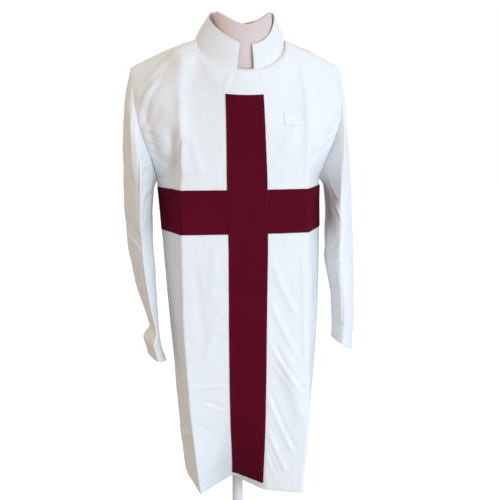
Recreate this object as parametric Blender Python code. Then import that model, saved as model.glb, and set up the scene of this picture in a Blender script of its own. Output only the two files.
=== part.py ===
"""Medieval surcoat on a limbless dress form.

A white long-sleeved cotton tunic with a stand collar notched at the centre front and a maroon
cross sewn on its front. It hangs on a plain torso form that stands on a pole and a round base.
The garment's front faces -Y, up is +Z, and the origin is the middle of the base's underside.
Sizes are in metres.
"""

import math

import bmesh
import bpy
import numpy as np

# Driving sizes.
CLOTH = 0.0015
COLLAR_CLOTH = 0.0020
TRIM = 0.0010
SEAM_GAP = 0.0003
SEAM_CLEARANCE = 2.0 / 3.0
HEM_Z = 0.420
# The hem hangs lower at the right front.
HEM_DIP = 0.010
HEM_DIP_S = 0.55
HEM_DIP_WIDTH = 0.45
HEM_DIP_REACH = 0.25
# How far each corner of the section is rounded, in the rails' own measure.
CORNER_REACH = 0.05
RAIL_REACH = 0.03
CREASE_SCALE = 0.24
ARMPIT_Z = 1.147
ARMHOLE_SWELL_FRONT = 0.046
ARMHOLE_SWELL_BACK = 0.048
SIDE_NECK_Z = 1.465
NECK_X = 0.003
NECK_HALF_WIDTH = 0.103
NECK_Y = -0.030
NECK_DEPTH_FRONT = 0.075
NECK_DEPTH_BACK = 0.055
NECK_DROP_FRONT = 0.0675
NECK_DROP_BACK = 0.004
SHOULDER_X = 0.246
SHOULDER_Y = -0.010
SHOULDER_Z = 1.402
SHOULDER_BOW = 0.004
# The panels' rows stay level over the chest, as if every column rose this far from the armpits.
YOKE_RISE = 0.266
YOKE_ROUNDNESS = 2.1
ARMHOLE_OVERHANG = 0.006
SLEEVE_HEAD_SHARE = 0.28
NECK_SEAM_RISE = 0.35
NECK_SEAM_SIDE_RISE = 0.55

# Where the section's rails sit round the body: -1 is the left side seam, 1 the right side seam,
# 2 the centre back, and 3 the left side seam again.
S_NECK = 0.50
S_FOLD = 0.62
S_BAND_LEFT = -0.17
S_BAND_RIGHT = 0.125
S_POCKET = 0.335
RAILS = (-1.0, -S_FOLD, S_BAND_LEFT, S_BAND_RIGHT, S_FOLD, 1.0, 1.38, 2.0, 2.62)

# One row for each level of the body, from the hem to the armpits. After the height come the x and
# y of each rail: left seam, left fold, the band's left and right edges, right fold, right seam,
# right back corner, centre back and left back corner.
LEVELS = (
    # z      seam L         fold L          band L          band R
    #        fold R         seam R          back R          centre         back L
    (0.420, -0.126, 0.010, -0.108, -0.138, -0.018, -0.030, 0.042, -0.126,
     0.134, -0.146, 0.154, 0.010, 0.130, 0.146, 0.004, 0.132, -0.118, 0.148),
    (0.490, -0.136, 0.010, -0.118, -0.136, -0.027, -0.082, 0.044, -0.132,
     0.142, -0.141, 0.168, 0.008, 0.142, 0.138, 0.006, 0.130, -0.128, 0.136),
    (0.580, -0.145, 0.008, -0.129, -0.136, -0.036, -0.118, 0.046, -0.137,
     0.150, -0.138, 0.183, 0.004, 0.152, 0.124, 0.006, 0.124, -0.132, 0.120),
    (0.680, -0.152, 0.004, -0.137, -0.136, -0.040, -0.132, 0.047, -0.139,
     0.149, -0.136, 0.194, 0.000, 0.156, 0.114, 0.004, 0.118, -0.138, 0.112),
    (0.830, -0.166, 0.000, -0.146, -0.135, -0.042, -0.139, 0.048, -0.140,
     0.144, -0.134, 0.201, -0.006, 0.158, 0.106, 0.002, 0.112, -0.148, 0.104),
    (1.000, -0.180, -0.006, -0.147, -0.131, -0.042, -0.138, 0.051, -0.138,
     0.144, -0.131, 0.202, -0.010, 0.158, 0.100, 0.000, 0.108, -0.151, 0.100),
    (1.147, -0.193, -0.010, -0.146, -0.124, -0.045, -0.133, 0.050, -0.133,
     0.147, -0.124, 0.200, -0.010, 0.156, 0.098, 0.000, 0.107, -0.154, 0.098),
)

# Rows of the panels: heights up to the armpits, then shares of the way from there to the top.
ROW_HEIGHTS = (0.420, 0.435, 0.460, 0.490, 0.530, 0.580, 0.630, 0.680, 0.740, 0.800, 0.860, 0.920,
               0.980, 1.030, 1.063, 1.097, 1.130, ARMPIT_Z)
ROW_SHARES = (0.12, 0.24, 0.36, 0.47, 0.58, 0.66, 0.74, 0.87, 1.0)
# Each row of the panels is a height and a share of the way from the armpits to the top.
ROWS = [(z, 0.0) for z in ROW_HEIGHTS] + [(ARMPIT_Z, share) for share in ROW_SHARES]
BAND_FOOT = (0.435, 0.0)
BAND_HEAD = (ARMPIT_Z, 0.74)
ARM_FOOT = (1.030, 0.0)
ARM_HEAD = (1.130, 0.0)
POCKET_FOOT = (ARMPIT_Z, 0.47)
POCKET_HEAD = (ARMPIT_Z, 0.58)

# The largest folds: soft ridges and troughs, from one (s, z) to another, with a half width and a
# height in metres. A trough's height is negative.
FOLDS = (
    # s0     z0     s1     z1     width  height
    (-0.50, 1.450, -0.93, 1.300, 0.034, 0.011),
    (-0.62, 1.430, -0.97, 1.255, 0.026, -0.006),
    (0.86, 1.390, 0.97, 1.290, 0.022, 0.006),
    (0.30, 0.780, 0.56, 0.560, 0.030, 0.006),
    (-0.60, 1.100, -0.61, 0.500, 0.020, 0.004),
    (1.55, 1.300, 1.75, 1.050, 0.035, 0.006),
    (2.45, 1.320, 2.22, 1.000, 0.035, 0.007),
    (1.80, 0.950, 1.70, 0.450, 0.040, 0.009),
    (2.30, 0.900, 2.38, 0.450, 0.045, -0.009),
)

# One row for each ring of a sleeve, from the armhole to the cuff: the share of the way down, the
# x and z of the outer and inner edges, half the depth of the flat sleeve, and its middle's y.
SLEEVES = {
    "left": (
        # share outer_x outer_z inner_x inner_z depth  middle
        (0.00, 0.246, 1.402, 0.192, 1.147, 0.070, -0.010),
        (0.10, 0.262, 1.335, 0.200, 1.124, 0.076, -0.012),
        (0.25, 0.268, 1.235, 0.203, 1.078, 0.082, -0.015),
        (0.45, 0.268, 1.090, 0.204, 1.010, 0.081, -0.018),
        (0.60, 0.261, 0.985, 0.200, 0.940, 0.076, -0.022),
        (0.75, 0.240, 0.885, 0.197, 0.860, 0.070, -0.026),
        (0.88, 0.211, 0.798, 0.194, 0.794, 0.063, -0.030),
        (0.93, 0.230, 0.778, 0.190, 0.762, 0.060, -0.032),
        (1.00, 0.219, 0.738, 0.178, 0.720, 0.056, -0.034),
    ),
    "right": (
        (0.00, 0.246, 1.402, 0.200, 1.147, 0.070, -0.010),
        (0.10, 0.257, 1.335, 0.212, 1.124, 0.076, -0.012),
        (0.25, 0.266, 1.235, 0.219, 1.078, 0.082, -0.015),
        (0.45, 0.277, 1.090, 0.217, 1.012, 0.081, -0.018),
        (0.60, 0.282, 0.985, 0.215, 0.945, 0.076, -0.022),
        (0.75, 0.284, 0.880, 0.230, 0.865, 0.070, -0.026),
        (0.88, 0.283, 0.792, 0.233, 0.804, 0.062, -0.030),
        (1.00, 0.279, 0.726, 0.231, 0.757, 0.056, -0.032),
    ),
}
SLEEVE_SHARES = (0.0, 0.03, 0.07, 0.12, 0.18, 0.25, 0.32, 0.39, 0.46, 0.53, 0.60, 0.67, 0.74,
                 0.80, 0.85, 0.89, 0.93, 0.97, 1.0)

# The stand collar: half the front notch as an angle, and its height and lean.
COLLAR_NOTCH = math.radians(10.5)
COLLAR_TOP_X = 0.005
COLLAR_TOP_HALF_WIDTH = 0.0745
COLLAR_TOP_Y = -0.043
COLLAR_TOP_DEPTH_FRONT = 0.058
COLLAR_TOP_DEPTH_BACK = 0.050
COLLAR_TOPS = (
    # degrees round the neck from the centre front by the right, height of the top edge
    (10.5, 1.4536), (30, 1.4598), (50, 1.4772), (70, 1.5019), (90, 1.5233), (110, 1.5300),
    (130, 1.5200), (150, 1.5120), (180, 1.5040), (210, 1.5160), (230, 1.5320), (250, 1.5230),
    (270, 1.5141), (290, 1.5007), (310, 1.4850), (330, 1.4695), (349.5, 1.4549),
)
COLLAR_TOP_REACH = 8.0
COLLAR_ROWS = 3

# The dress form, its pole and its base.
FORM_SIDES = 32
FORM_RINGS = (
    # z    middle_x half_width half_depth middle_y, how far the sides of the neck's top rise
    (0.800, 0.0000, 0.1120, 0.082, -0.012, 0.0),
    (0.812, 0.0000, 0.1220, 0.091, -0.012, 0.0),
    (0.880, 0.0000, 0.1280, 0.096, -0.012, 0.0),
    (0.980, 0.0000, 0.1270, 0.092, -0.012, 0.0),
    (1.060, 0.0000, 0.1380, 0.092, -0.013, 0.0),
    (1.147, 0.0000, 0.1540, 0.093, -0.014, 0.0),
    (1.230, 0.0000, 0.1660, 0.088, -0.016, 0.0),
    (1.290, 0.0000, 0.1760, 0.078, -0.018, 0.0),
    (1.335, 0.0000, 0.1780, 0.064, -0.024, 0.0),
    (1.370, 0.0000, 0.1640, 0.058, -0.034, 0.0),
    (1.395, 0.0010, 0.1280, 0.0570, -0.0410, 0.0),
    (1.415, 0.0020, 0.0930, 0.0555, -0.0430, 0.0),
    (1.432, 0.0040, 0.0760, 0.0525, -0.0450, 0.0),
    (1.450, 0.0065, 0.0700, 0.0515, -0.0460, 0.2),
    (1.472, 0.0075, 0.0670, 0.0500, -0.0465, 0.6),
    (1.4925, 0.0075, 0.0670, 0.0480, -0.0460, 1.0),
    (1.4975, 0.0075, 0.0630, 0.0440, -0.0460, 1.0),
)
NECK_RISE = 0.032
NECK_RISE_POWER = 1.5
POLE_RADIUS = 0.0125
POLE_SIDES = 24
BASE_RADIUS = 0.160
BASE_HEIGHT = 0.018
BASE_EDGE = 0.004
BASE_SIDES = 64

WHITE = (0.80, 0.81, 0.83, 1.0)
MAROON = (0.105, 0.007, 0.017, 1.0)
PINK = (0.70, 0.56, 0.57, 1.0)
STAND_WHITE = (0.85, 0.85, 0.85, 1.0)


def smooth_step(value):
    """Rises softly from 0 to 1 as the value does."""
    value = np.clip(value, 0.0, 1.0)
    return value * value * (3.0 - 2.0 * value)


def soft_interp(value, stops, values, reach):
    """Linear interpolation with its corners rounded over reach, and straight past both ends."""
    stops = np.asarray(stops, float)
    values = np.asarray(values, float)
    first = values[0] - (values[1] - values[0]) / (stops[1] - stops[0]) * reach
    last = values[-1] + (values[-1] - values[-2]) / (stops[-1] - stops[-2]) * reach
    stops = np.concatenate([[stops[0] - reach], stops, [stops[-1] + reach]])
    values = np.concatenate([[first], values, [last]])
    shifts = np.linspace(-reach, reach, 5)
    return float(np.mean([np.interp(value + shift, stops, values) for shift in shifts]))


def hem_dip(s, z):
    """How far the cloth hangs below a level at the right front, most of all at the hem."""
    beside = math.exp(-((s - HEM_DIP_S) / HEM_DIP_WIDTH) ** 2)
    return HEM_DIP * beside * float(smooth_step(1.0 - (z - HEM_Z) / HEM_DIP_REACH))


def level_point(s, z):
    """A point on the body's closed section at a height below the armpits."""
    heights = [row[0] for row in LEVELS]
    rail_x = [soft_interp(z, heights, [row[1 + 2 * i] for row in LEVELS], RAIL_REACH)
              for i in range(len(RAILS))]
    rail_y = [soft_interp(z, heights, [row[2 + 2 * i] for row in LEVELS], RAIL_REACH)
              for i in range(len(RAILS))]
    stops = [rail - 4.0 for rail in RAILS] + list(RAILS) + [rail + 4.0 for rail in RAILS]
    shifts = np.linspace(-CORNER_REACH, CORNER_REACH, 5)
    x = np.mean([np.interp(s + shift, stops, rail_x * 3) for shift in shifts])
    y = np.mean([np.interp(s + shift, stops, rail_y * 3) for shift in shifts])
    return np.array([x, y, z - hem_dip(s, z)])


def neckline(angle):
    """A point on the neck seam, from the centre front at 0 round to the back at pi."""
    turn = math.cos(angle)
    depth = NECK_DEPTH_FRONT if turn > 0 else NECK_DEPTH_BACK
    drop = NECK_DROP_FRONT if turn > 0 else -NECK_DROP_BACK
    return np.array([NECK_X + NECK_HALF_WIDTH * math.sin(angle), NECK_Y - depth * turn,
                     SIDE_NECK_Z - drop * turn])


def top_point(s, back):
    """A point on the upper edge of the front (s from -1 to 1) or the back (s from 1 to 3)."""
    local = s - 2.0 if back else s
    if abs(local) <= S_NECK:
        angle = 0.5 * math.pi * local / S_NECK
        return neckline(math.pi + angle if back else angle)
    along = (abs(local) - S_NECK) / (1.0 - S_NECK)
    side = math.copysign(1.0, local) * (-1.0 if back else 1.0)
    neck = neckline(side * 0.5 * math.pi)
    tip = np.array([side * SHOULDER_X, SHOULDER_Y, SHOULDER_Z])
    point = neck + (tip - neck) * along
    point[2] += SHOULDER_BOW * math.sin(math.pi * along)
    return point


def armhole(side, share, back):
    """A point on the armhole seam, from the armpit at 0 to the shoulder tip at 1."""
    armpit = level_point(side, ARMPIT_Z)
    reach = math.sin(0.5 * math.pi * share) ** 1.2
    overhang = ARMHOLE_OVERHANG * math.sin(math.pi * share) ** 2
    swell = ARMHOLE_SWELL_BACK if back else -ARMHOLE_SWELL_FRONT
    return np.array([armpit[0] + (side * SHOULDER_X - armpit[0]) * reach + side * overhang,
                     armpit[1] + (SHOULDER_Y - armpit[1]) * share + swell * math.sin(math.pi * share),
                     ARMPIT_Z + (SHOULDER_Z - ARMPIT_Z) * share])


def body_point(s, z, share, back):
    """A point on the body's cloth: at height z, or share of the way from the armpits to the top."""
    low = level_point(s, z)
    if share <= 0.0:
        return low
    local = s - 2.0 if back else s
    side = math.copysign(1.0, local) * (-1.0 if back else 1.0)
    outer = side + 4.0 if back and side < 0.0 else side
    bulge = (1.0 - share ** YOKE_ROUNDNESS) ** (1.0 / YOKE_ROUNDNESS)

    def blend(place, foot):
        top = top_point(place, back)
        point = foot + (top - foot) * share
        point[1] = top[1] + (foot[1] - top[1]) * bulge
        rise = YOKE_RISE + (top[2] - ARMPIT_Z - YOKE_RISE) * smooth_step((share - 0.5) / 0.5)
        point[2] = ARMPIT_Z + rise * share
        return point

    near_edge = smooth_step((abs(local) - S_NECK) / (1.0 - S_NECK))
    edge = blend(outer, level_point(outer, ARMPIT_Z))
    return blend(s, low) + (armhole(side, share, back) - edge) * near_edge


def fold_height(s, z):
    """How far the largest folds move the cloth out at a place on the body."""
    total = 0.0
    for s0, z0, s1, z1, width, height in FOLDS:
        scale = CREASE_SCALE
        run = np.array([(s1 - s0) * scale, z1 - z0])
        place = np.array([(s - s0) * scale, z - z0])
        length = float(np.linalg.norm(run))
        along = float(place @ run) / length ** 2
        across = abs(float(place[0] * run[1] - place[1] * run[0])) / length
        ends = smooth_step(along / 0.25) * smooth_step((1.0 - along) / 0.25)
        total += height * math.exp(-(across / width) ** 2 * 2.0) * ends
    return total


def body_grid(columns, back):
    """The rows and columns of points of a body panel, from the hem up."""
    return np.array([[body_point(s, z, share, back) for s in columns] for z, share in ROWS])


def grid_normals(points, closed=False):
    """Unit normals of a grid of points, to the right of its columns seen along its rows."""
    if closed:
        padded = np.concatenate([points[:, -2:-1], points, points[:, 1:2]], axis=1)
        across = padded[:, 2:] - padded[:, :-2]
    else:
        across = np.gradient(points, axis=1)
    up = np.gradient(points, axis=0)
    normals = np.cross(across, up)
    return normals / np.linalg.norm(normals, axis=2, keepdims=True)


def unit(vectors):
    """The vectors at length one."""
    return vectors / np.linalg.norm(vectors, axis=-1, keepdims=True)


def spread_between(stops, counts):
    """Values from the first stop to the last, with counts steps between each two stops."""
    values = [stops[0]]
    for low, high, count in zip(stops[:-1], stops[1:], counts):
        values += [low + (high - low) * (i + 1) / count for i in range(count)]
    return [round(value, 6) for value in values]


def pull_in(points, edge, towards, distance):
    """Moves one border of a grid towards its next row or column by a distance."""
    step = unit(points[towards] - points[edge])
    points[edge] += step * distance


def colour_material(name, colour, roughness, metallic):
    """A plain Principled material."""
    material = bpy.data.materials.new(name)
    material.use_nodes = True
    shader = material.node_tree.nodes["Principled BSDF"]
    shader.inputs["Base Color"].default_value = colour
    shader.inputs["Roughness"].default_value = roughness
    shader.inputs["Metallic"].default_value = metallic
    return material


def add_object(name, bm, material):
    """Links a finished mesh with its material, its faces pointing out."""
    bmesh.ops.recalc_face_normals(bm, faces=bm.faces[:])
    if bm.calc_volume(signed=True) < 0.0:
        bmesh.ops.reverse_faces(bm, faces=bm.faces[:])
    bmesh.ops.triangulate(bm, faces=bm.faces[:])
    mesh = bpy.data.meshes.new(name)
    bm.to_mesh(mesh)
    bm.free()
    mesh.materials.append(material)
    mesh.shade_smooth()
    thing = bpy.data.objects.new(name, mesh)
    bpy.context.scene.collection.objects.link(thing)
    return thing


def cloth_wall(name, points, normals, low, high, material, closed=False):
    """A closed wall of cloth between two offsets from a grid of points.

    A closed grid's last column repeats its first, and the two are welded into a tube.
    """
    rows, columns = points.shape[:2]
    bm = bmesh.new()
    bmesh.ops.create_grid(bm, x_segments=columns - 1, y_segments=rows - 1, size=0.5)
    row_layer = bm.verts.layers.int.new("row")
    column_layer = bm.verts.layers.int.new("column")
    for vert in bm.verts:
        row = round((vert.co.y + 0.5) * (rows - 1))
        column = round((vert.co.x + 0.5) * (columns - 1))
        vert[row_layer] = row
        vert[column_layer] = column
        vert.co = points[row, column] + normals[row, column] * high
    if closed:
        bmesh.ops.remove_doubles(bm, verts=bm.verts[:], dist=1e-6)
    made = bmesh.ops.extrude_face_region(bm, geom=bm.faces[:])
    for vert in made["geom"]:
        if isinstance(vert, bmesh.types.BMVert):
            row, column = vert[row_layer], vert[column_layer]
            vert.co = points[row, column] + normals[row, column] * low
    return add_object(name, bm, material)


def sleeve_ring(side_name, share, turn):
    """A point on a sleeve: turn is 0 at the outer edge, pi/2 in front and pi at the inner edge."""
    table = SLEEVES[side_name]
    shares = [row[0] for row in table]
    outer_x, outer_z, inner_x, inner_z, depth, middle = (
        soft_interp(share, shares, [row[1 + i] for row in table], RAIL_REACH)
        for i in range(6)
    )
    side = -1.0 if side_name == "left" else 1.0
    flat = 1.0 + smooth_step(share / 0.3)
    across = math.copysign(abs(math.cos(turn)) ** flat, math.cos(turn))
    half = np.array([outer_x - inner_x, 0.0, outer_z - inner_z]) / 2.0
    centre = np.array([outer_x + inner_x, 2.0 * middle, outer_z + inner_z]) / 2.0
    point = centre + half * across
    point[1] -= depth * math.sin(turn)
    return point * np.array([side, 1.0, 1.0])


def armhole_turn(share):
    """The sleeve's turn that meets a share of the armhole: pi at the armpit, 0 at the shoulder."""
    middle_share = ROW_SHARES[3]
    power = math.log(0.5) / math.log(middle_share)
    return math.pi * (1.0 - share ** power)


def sleeve_grid(side_name):
    """The rows and columns of a sleeve's points, from the cuff up, closed round."""
    side = -1.0 if side_name == "left" else 1.0
    shares = (0.0,) + ROW_SHARES
    front = [(armhole_turn(share), armhole(side, share, False)) for share in reversed(shares)]
    back = [(2.0 * math.pi - armhole_turn(share), armhole(side, share, True)) for share in shares[1:]]
    grid = []
    for share in reversed(SLEEVE_SHARES):
        fade = max(0.0, 1.0 - share / SLEEVE_HEAD_SHARE) ** 2
        grid.append([
            sleeve_ring(side_name, share, turn) + (place - sleeve_ring(side_name, 0.0, turn)) * fade
            for turn, place in front + back
        ])
    points = np.array(grid)
    return points[:, ::-1] if side_name == "right" else points


def neck_angles(front_columns, back_columns):
    """The angles round the neck where the panels have points, from notch edge to notch edge."""
    front = [0.5 * math.pi * s / S_NECK for s in front_columns if abs(s) <= S_NECK]
    back = [math.pi + 0.5 * math.pi * (s - 2.0) / S_NECK for s in back_columns
            if abs(s - 2.0) < S_NECK - 1e-6]
    right = [angle for angle in front if angle > COLLAR_NOTCH + 0.02]
    left = [angle + 2.0 * math.pi for angle in front if angle < -COLLAR_NOTCH - 0.02]
    return front, [COLLAR_NOTCH] + right + back + left + [2.0 * math.pi - COLLAR_NOTCH]


def foot_on_chord(angle, corners):
    """The point of the neck seam's straight chords at an angle."""
    turn = (angle + math.pi) % (2.0 * math.pi) - math.pi
    if abs(turn) > 0.5 * math.pi:
        return neckline(angle)
    high = min(max(int(np.searchsorted(corners, turn - 1e-9)), 1), len(corners) - 1)
    low, top = corners[high - 1], corners[high]
    start, end = neckline(low), neckline(top)
    return start + (end - start) * (turn - low) / (top - low)


def collar_grid(front_columns, back_columns):
    """The rows and columns of the collar's points, from the neck seam up."""
    corners, angles = neck_angles(front_columns, back_columns)
    stops = [math.radians(stop) for stop, _ in COLLAR_TOPS]
    tops = [top for _, top in COLLAR_TOPS]
    grid = []
    for row in range(COLLAR_ROWS + 1):
        line = []
        for angle in angles:
            turn = math.cos(angle)
            depth = COLLAR_TOP_DEPTH_FRONT if turn > 0 else COLLAR_TOP_DEPTH_BACK
            foot = foot_on_chord(angle, corners)
            head = np.array([COLLAR_TOP_X + COLLAR_TOP_HALF_WIDTH * math.sin(angle),
                             COLLAR_TOP_Y - depth * turn,
                             soft_interp(angle, stops, tops, math.radians(COLLAR_TOP_REACH))])
            line.append(foot + (head - foot) * row / COLLAR_ROWS)
        grid.append(line)
    return np.array(grid)


def neck_seam_normal(point):
    """The direction that halves the angle between the collar and the panels at the neck seam."""
    out = np.array([point[0] - NECK_X, point[1] - NECK_Y, 0.0])
    out /= np.linalg.norm(out)
    sideways = abs(out[0])
    rise = NECK_SEAM_RISE + NECK_SEAM_SIDE_RISE * sideways
    return unit(out + np.array([0.0, 0.0, rise]))


def make_cloth(white, maroon):
    """Makes every cloth piece, its seams mitred and a gap apart."""
    front_columns = spread_between(
        (-1.0, -S_FOLD, -S_NECK, S_BAND_LEFT, S_BAND_RIGHT, S_POCKET, S_NECK, S_FOLD, 1.0),
        (4, 1, 3, 4, 2, 2, 1, 4))
    back_columns = spread_between(
        (1.0, 2.0 - S_FOLD, 2.0 - S_NECK, 2.0 + S_NECK, 2.0 + S_FOLD, 3.0), (4, 1, 10, 1, 4))
    front = body_grid(front_columns, False)
    back = body_grid(back_columns, True)
    for columns, panel in ((front_columns, front), (back_columns, back)):
        normals = grid_normals(panel)
        for row in range(panel.shape[0] - 1):
            for column, s in list(enumerate(columns))[1:-1]:
                panel[row, column] += normals[row, column] * fold_height(s, panel[row, column, 2])
    sleeves = {side: sleeve_grid(side) for side in SLEEVES}
    armpit_row = len(ROW_HEIGHTS) - 1
    normal_of = {"front": grid_normals(front), "back": grid_normals(back)}
    for side in SLEEVES:
        normal_of[side] = grid_normals(sleeves[side], closed=True)
    join_normals(front_columns, back_columns, normal_of, armpit_row, front, back)
    half_gap = SEAM_GAP * SEAM_CLEARANCE
    for panel in (front, back):
        pull_in(panel, (slice(None), 0), (slice(None), 1), half_gap)
        pull_in(panel, (slice(None), -1), (slice(None), -2), half_gap)
        pull_in(panel, (-1,), (-2,), half_gap)
    for side in SLEEVES:
        pull_in(sleeves[side], (-1,), (-2,), half_gap)
    half = CLOTH / 2.0
    cloth_wall("front", front, normal_of["front"], -half, half, white)
    cloth_wall("back", back, normal_of["back"], -half, half, white)
    for side in SLEEVES:
        cloth_wall(f"sleeve_{side}", sleeves[side], normal_of[side], -half, half, white, closed=True)
    make_collar(front_columns, back_columns, white)
    make_trims(front, normal_of["front"], front_columns, white, maroon)


def join_normals(front_columns, back_columns, normal_of, armpit_row, front, back):
    """Gives the pieces that meet at a seam the same direction there, so that they mitre."""
    front_normals, back_normals = normal_of["front"], normal_of["back"]
    last = front.shape[0] - 1
    for row in range(armpit_row + 1):
        for edge, other in ((0, -1), (-1, 0)):
            shared = unit(front_normals[row, edge] + back_normals[row, other])
            front_normals[row, edge] = shared
            back_normals[row, other] = shared
    for column, s in enumerate(front_columns):
        if abs(s) < S_NECK - 1e-6:
            front_normals[last, column] = neck_seam_normal(front[last, column])
        else:
            other = int(np.argmin([abs(value + s - 2.0) for value in back_columns]))
            shared = unit(front_normals[last, column] + back_normals[last, other])
            if abs(abs(s) - S_NECK) < 1e-6:
                shared = neck_seam_normal(front[last, column])
            front_normals[last, column] = shared
            back_normals[last, other] = shared
    for column, s in enumerate(back_columns):
        if abs(s - 2.0) < S_NECK - 1e-6:
            back_normals[last, column] = neck_seam_normal(back[last, column])
    steps = last - armpit_row
    for side, edge, other in (("left", 0, -1), ("right", -1, 0)):
        ring = normal_of[side][-1]
        count = len(ring) - 1
        for step in range(steps + 1):
            row = last - step
            front_column = step if side == "left" else count - step
            back_column = count - step if side == "left" else step
            panel_front = front_normals[row, edge]
            panel_back = back_normals[row, other]
            if step == 0:
                shared = unit(panel_front + panel_back + ring[0])
                front_normals[row, edge] = back_normals[row, other] = shared
                ring[0] = ring[count] = shared
            elif step == steps:
                shared = unit(panel_front + ring[front_column])
                front_normals[row, edge] = back_normals[row, other] = shared
                ring[front_column] = shared
            else:
                shared = unit(panel_front + ring[front_column])
                front_normals[row, edge] = ring[front_column] = shared
                shared = unit(panel_back + ring[back_column])
                back_normals[row, other] = ring[back_column] = shared


def make_collar(front_columns, back_columns, white):
    """The stand collar, open at its front notch."""
    points = collar_grid(front_columns, back_columns)
    normals = grid_normals(points)
    normals[0] = [neck_seam_normal(point) for point in points[0]]
    pull_in(points, (0,), (1,), SEAM_GAP * SEAM_CLEARANCE)
    half = COLLAR_CLOTH / 2.0
    cloth_wall("collar", points, normals, -half, half, white)


def make_trims(front, normals, columns, white, maroon):
    """The cross and the pocket welt, made from the front panel's points moved out."""
    low = CLOTH / 2.0 + SEAM_GAP
    high = low + TRIM

    def strip(name, left, right, foot, head, material):
        first, last = columns.index(left), columns.index(right)
        start, end = ROWS.index(foot), ROWS.index(head)
        area = (slice(start, end + 1), slice(first, last + 1))
        points = front[area].copy()
        for edge, towards in (((slice(None), 0), (slice(None), 1)),
                              ((slice(None), -1), (slice(None), -2))):
            pull_in(points, edge, towards, SEAM_GAP)
        cloth_wall(name, points, normals[area], low, high, material)

    strip("cross_upright", S_BAND_LEFT, S_BAND_RIGHT, BAND_FOOT, BAND_HEAD, maroon)
    strip("cross_arm_left", -1.0, S_BAND_LEFT, ARM_FOOT, ARM_HEAD, maroon)
    strip("cross_arm_right", S_BAND_RIGHT, 1.0, ARM_FOOT, ARM_HEAD, maroon)
    strip("pocket_welt", S_POCKET, S_FOLD, POCKET_FOOT, POCKET_HEAD, white)


def make_form(pink):
    """The smooth limbless torso, its neck cut in a hollow that rises to both sides."""
    bm = bmesh.new()
    bmesh.ops.create_grid(bm, x_segments=FORM_SIDES, y_segments=len(FORM_RINGS) - 1, size=0.5)
    for vert in bm.verts:
        ring = FORM_RINGS[round((vert.co.y + 0.5) * (len(FORM_RINGS) - 1))]
        z, middle_x, width, depth, middle_y, rise = ring
        angle = 2.0 * math.pi * round((vert.co.x + 0.5) * FORM_SIDES) / FORM_SIDES
        side = math.sin(angle)
        vert.co = (middle_x + width * side, middle_y - depth * math.cos(angle),
                   z + rise * NECK_RISE * abs(side) ** NECK_RISE_POWER)
    bmesh.ops.remove_doubles(bm, verts=bm.verts[:], dist=1e-6)
    bmesh.ops.holes_fill(bm, edges=[edge for edge in bm.edges if edge.is_boundary], sides=0)
    top_z, middle_y = FORM_RINGS[-1][0], FORM_RINGS[-1][4]
    cap = max((face for face in bm.faces if len(face.verts) == FORM_SIDES),
              key=lambda face: face.calc_center_median().z)
    fronts = [vert for vert in cap.verts if vert.co.y < middle_y - 1e-6 and vert.co.z >= top_z]
    for front in fronts:
        back = min(cap_verts_behind(bm, front, middle_y),
                   key=lambda vert: abs(vert.co.x - front.co.x))
        bmesh.ops.connect_vert_pair(bm, verts=[front, back])
    return add_object("form_torso", bm, pink)


def cap_verts_behind(bm, front, middle_y):
    """The vertices behind the neck's middle, at the height of one in front of it."""
    return [vert for vert in bm.verts
            if vert.co.y > middle_y and abs(vert.co.z - front.co.z) < 1e-6]


def make_stand(paint):
    """The pole under the torso and the round base."""
    length = FORM_RINGS[0][0] - BASE_HEIGHT - 2.0 * SEAM_GAP
    bm = bmesh.new()
    bmesh.ops.create_cone(bm, cap_ends=True, segments=POLE_SIDES, radius1=POLE_RADIUS,
                          radius2=POLE_RADIUS, depth=length)
    bmesh.ops.translate(bm, verts=bm.verts[:],
                        vec=(0.0, 0.0, BASE_HEIGHT + SEAM_GAP + length / 2.0))
    add_object("form_pole", bm, paint)
    bm = bmesh.new()
    bmesh.ops.create_cone(bm, cap_ends=True, segments=BASE_SIDES, radius1=BASE_RADIUS,
                          radius2=BASE_RADIUS, depth=BASE_HEIGHT)
    bmesh.ops.translate(bm, verts=bm.verts[:], vec=(0.0, 0.0, BASE_HEIGHT / 2.0))
    rim = [edge for edge in bm.edges
           if all(vert.co.z > BASE_HEIGHT / 2.0 for vert in edge.verts)]
    bmesh.ops.bevel(bm, geom=rim, offset=BASE_EDGE, segments=2, profile=0.5, affect="EDGES",
                    material=-1)
    add_object("form_base", bm, paint)


def main():
    """Clears the scene and makes every piece."""
    for thing in list(bpy.data.objects):
        bpy.data.objects.remove(thing)
    white = colour_material("white_cotton", WHITE, 0.9, 0.0)
    maroon = colour_material("maroon_cotton", MAROON, 0.85, 0.0)
    pink = colour_material("form_pink", PINK, 0.5, 0.0)
    paint = colour_material("stand_paint", STAND_WHITE, 0.4, 0.0)
    make_cloth(white, maroon)
    make_form(pink)
    make_stand(paint)


main()
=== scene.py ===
"""Medieval surcoat on a limbless dress form: the finished cloth, trims, form and stand.

The surcoat is cut from plain white cotton with a stand collar notched at the centre front, and a
maroon cross is sewn on its front. Everything is in metres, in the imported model's own frame.
"""

import logging
import math
from dataclasses import dataclass
from enum import Enum
from typing import Sequence

import bmesh
import bpy
import numpy as np
from mathutils import Euler, Matrix, Vector, noise


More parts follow.
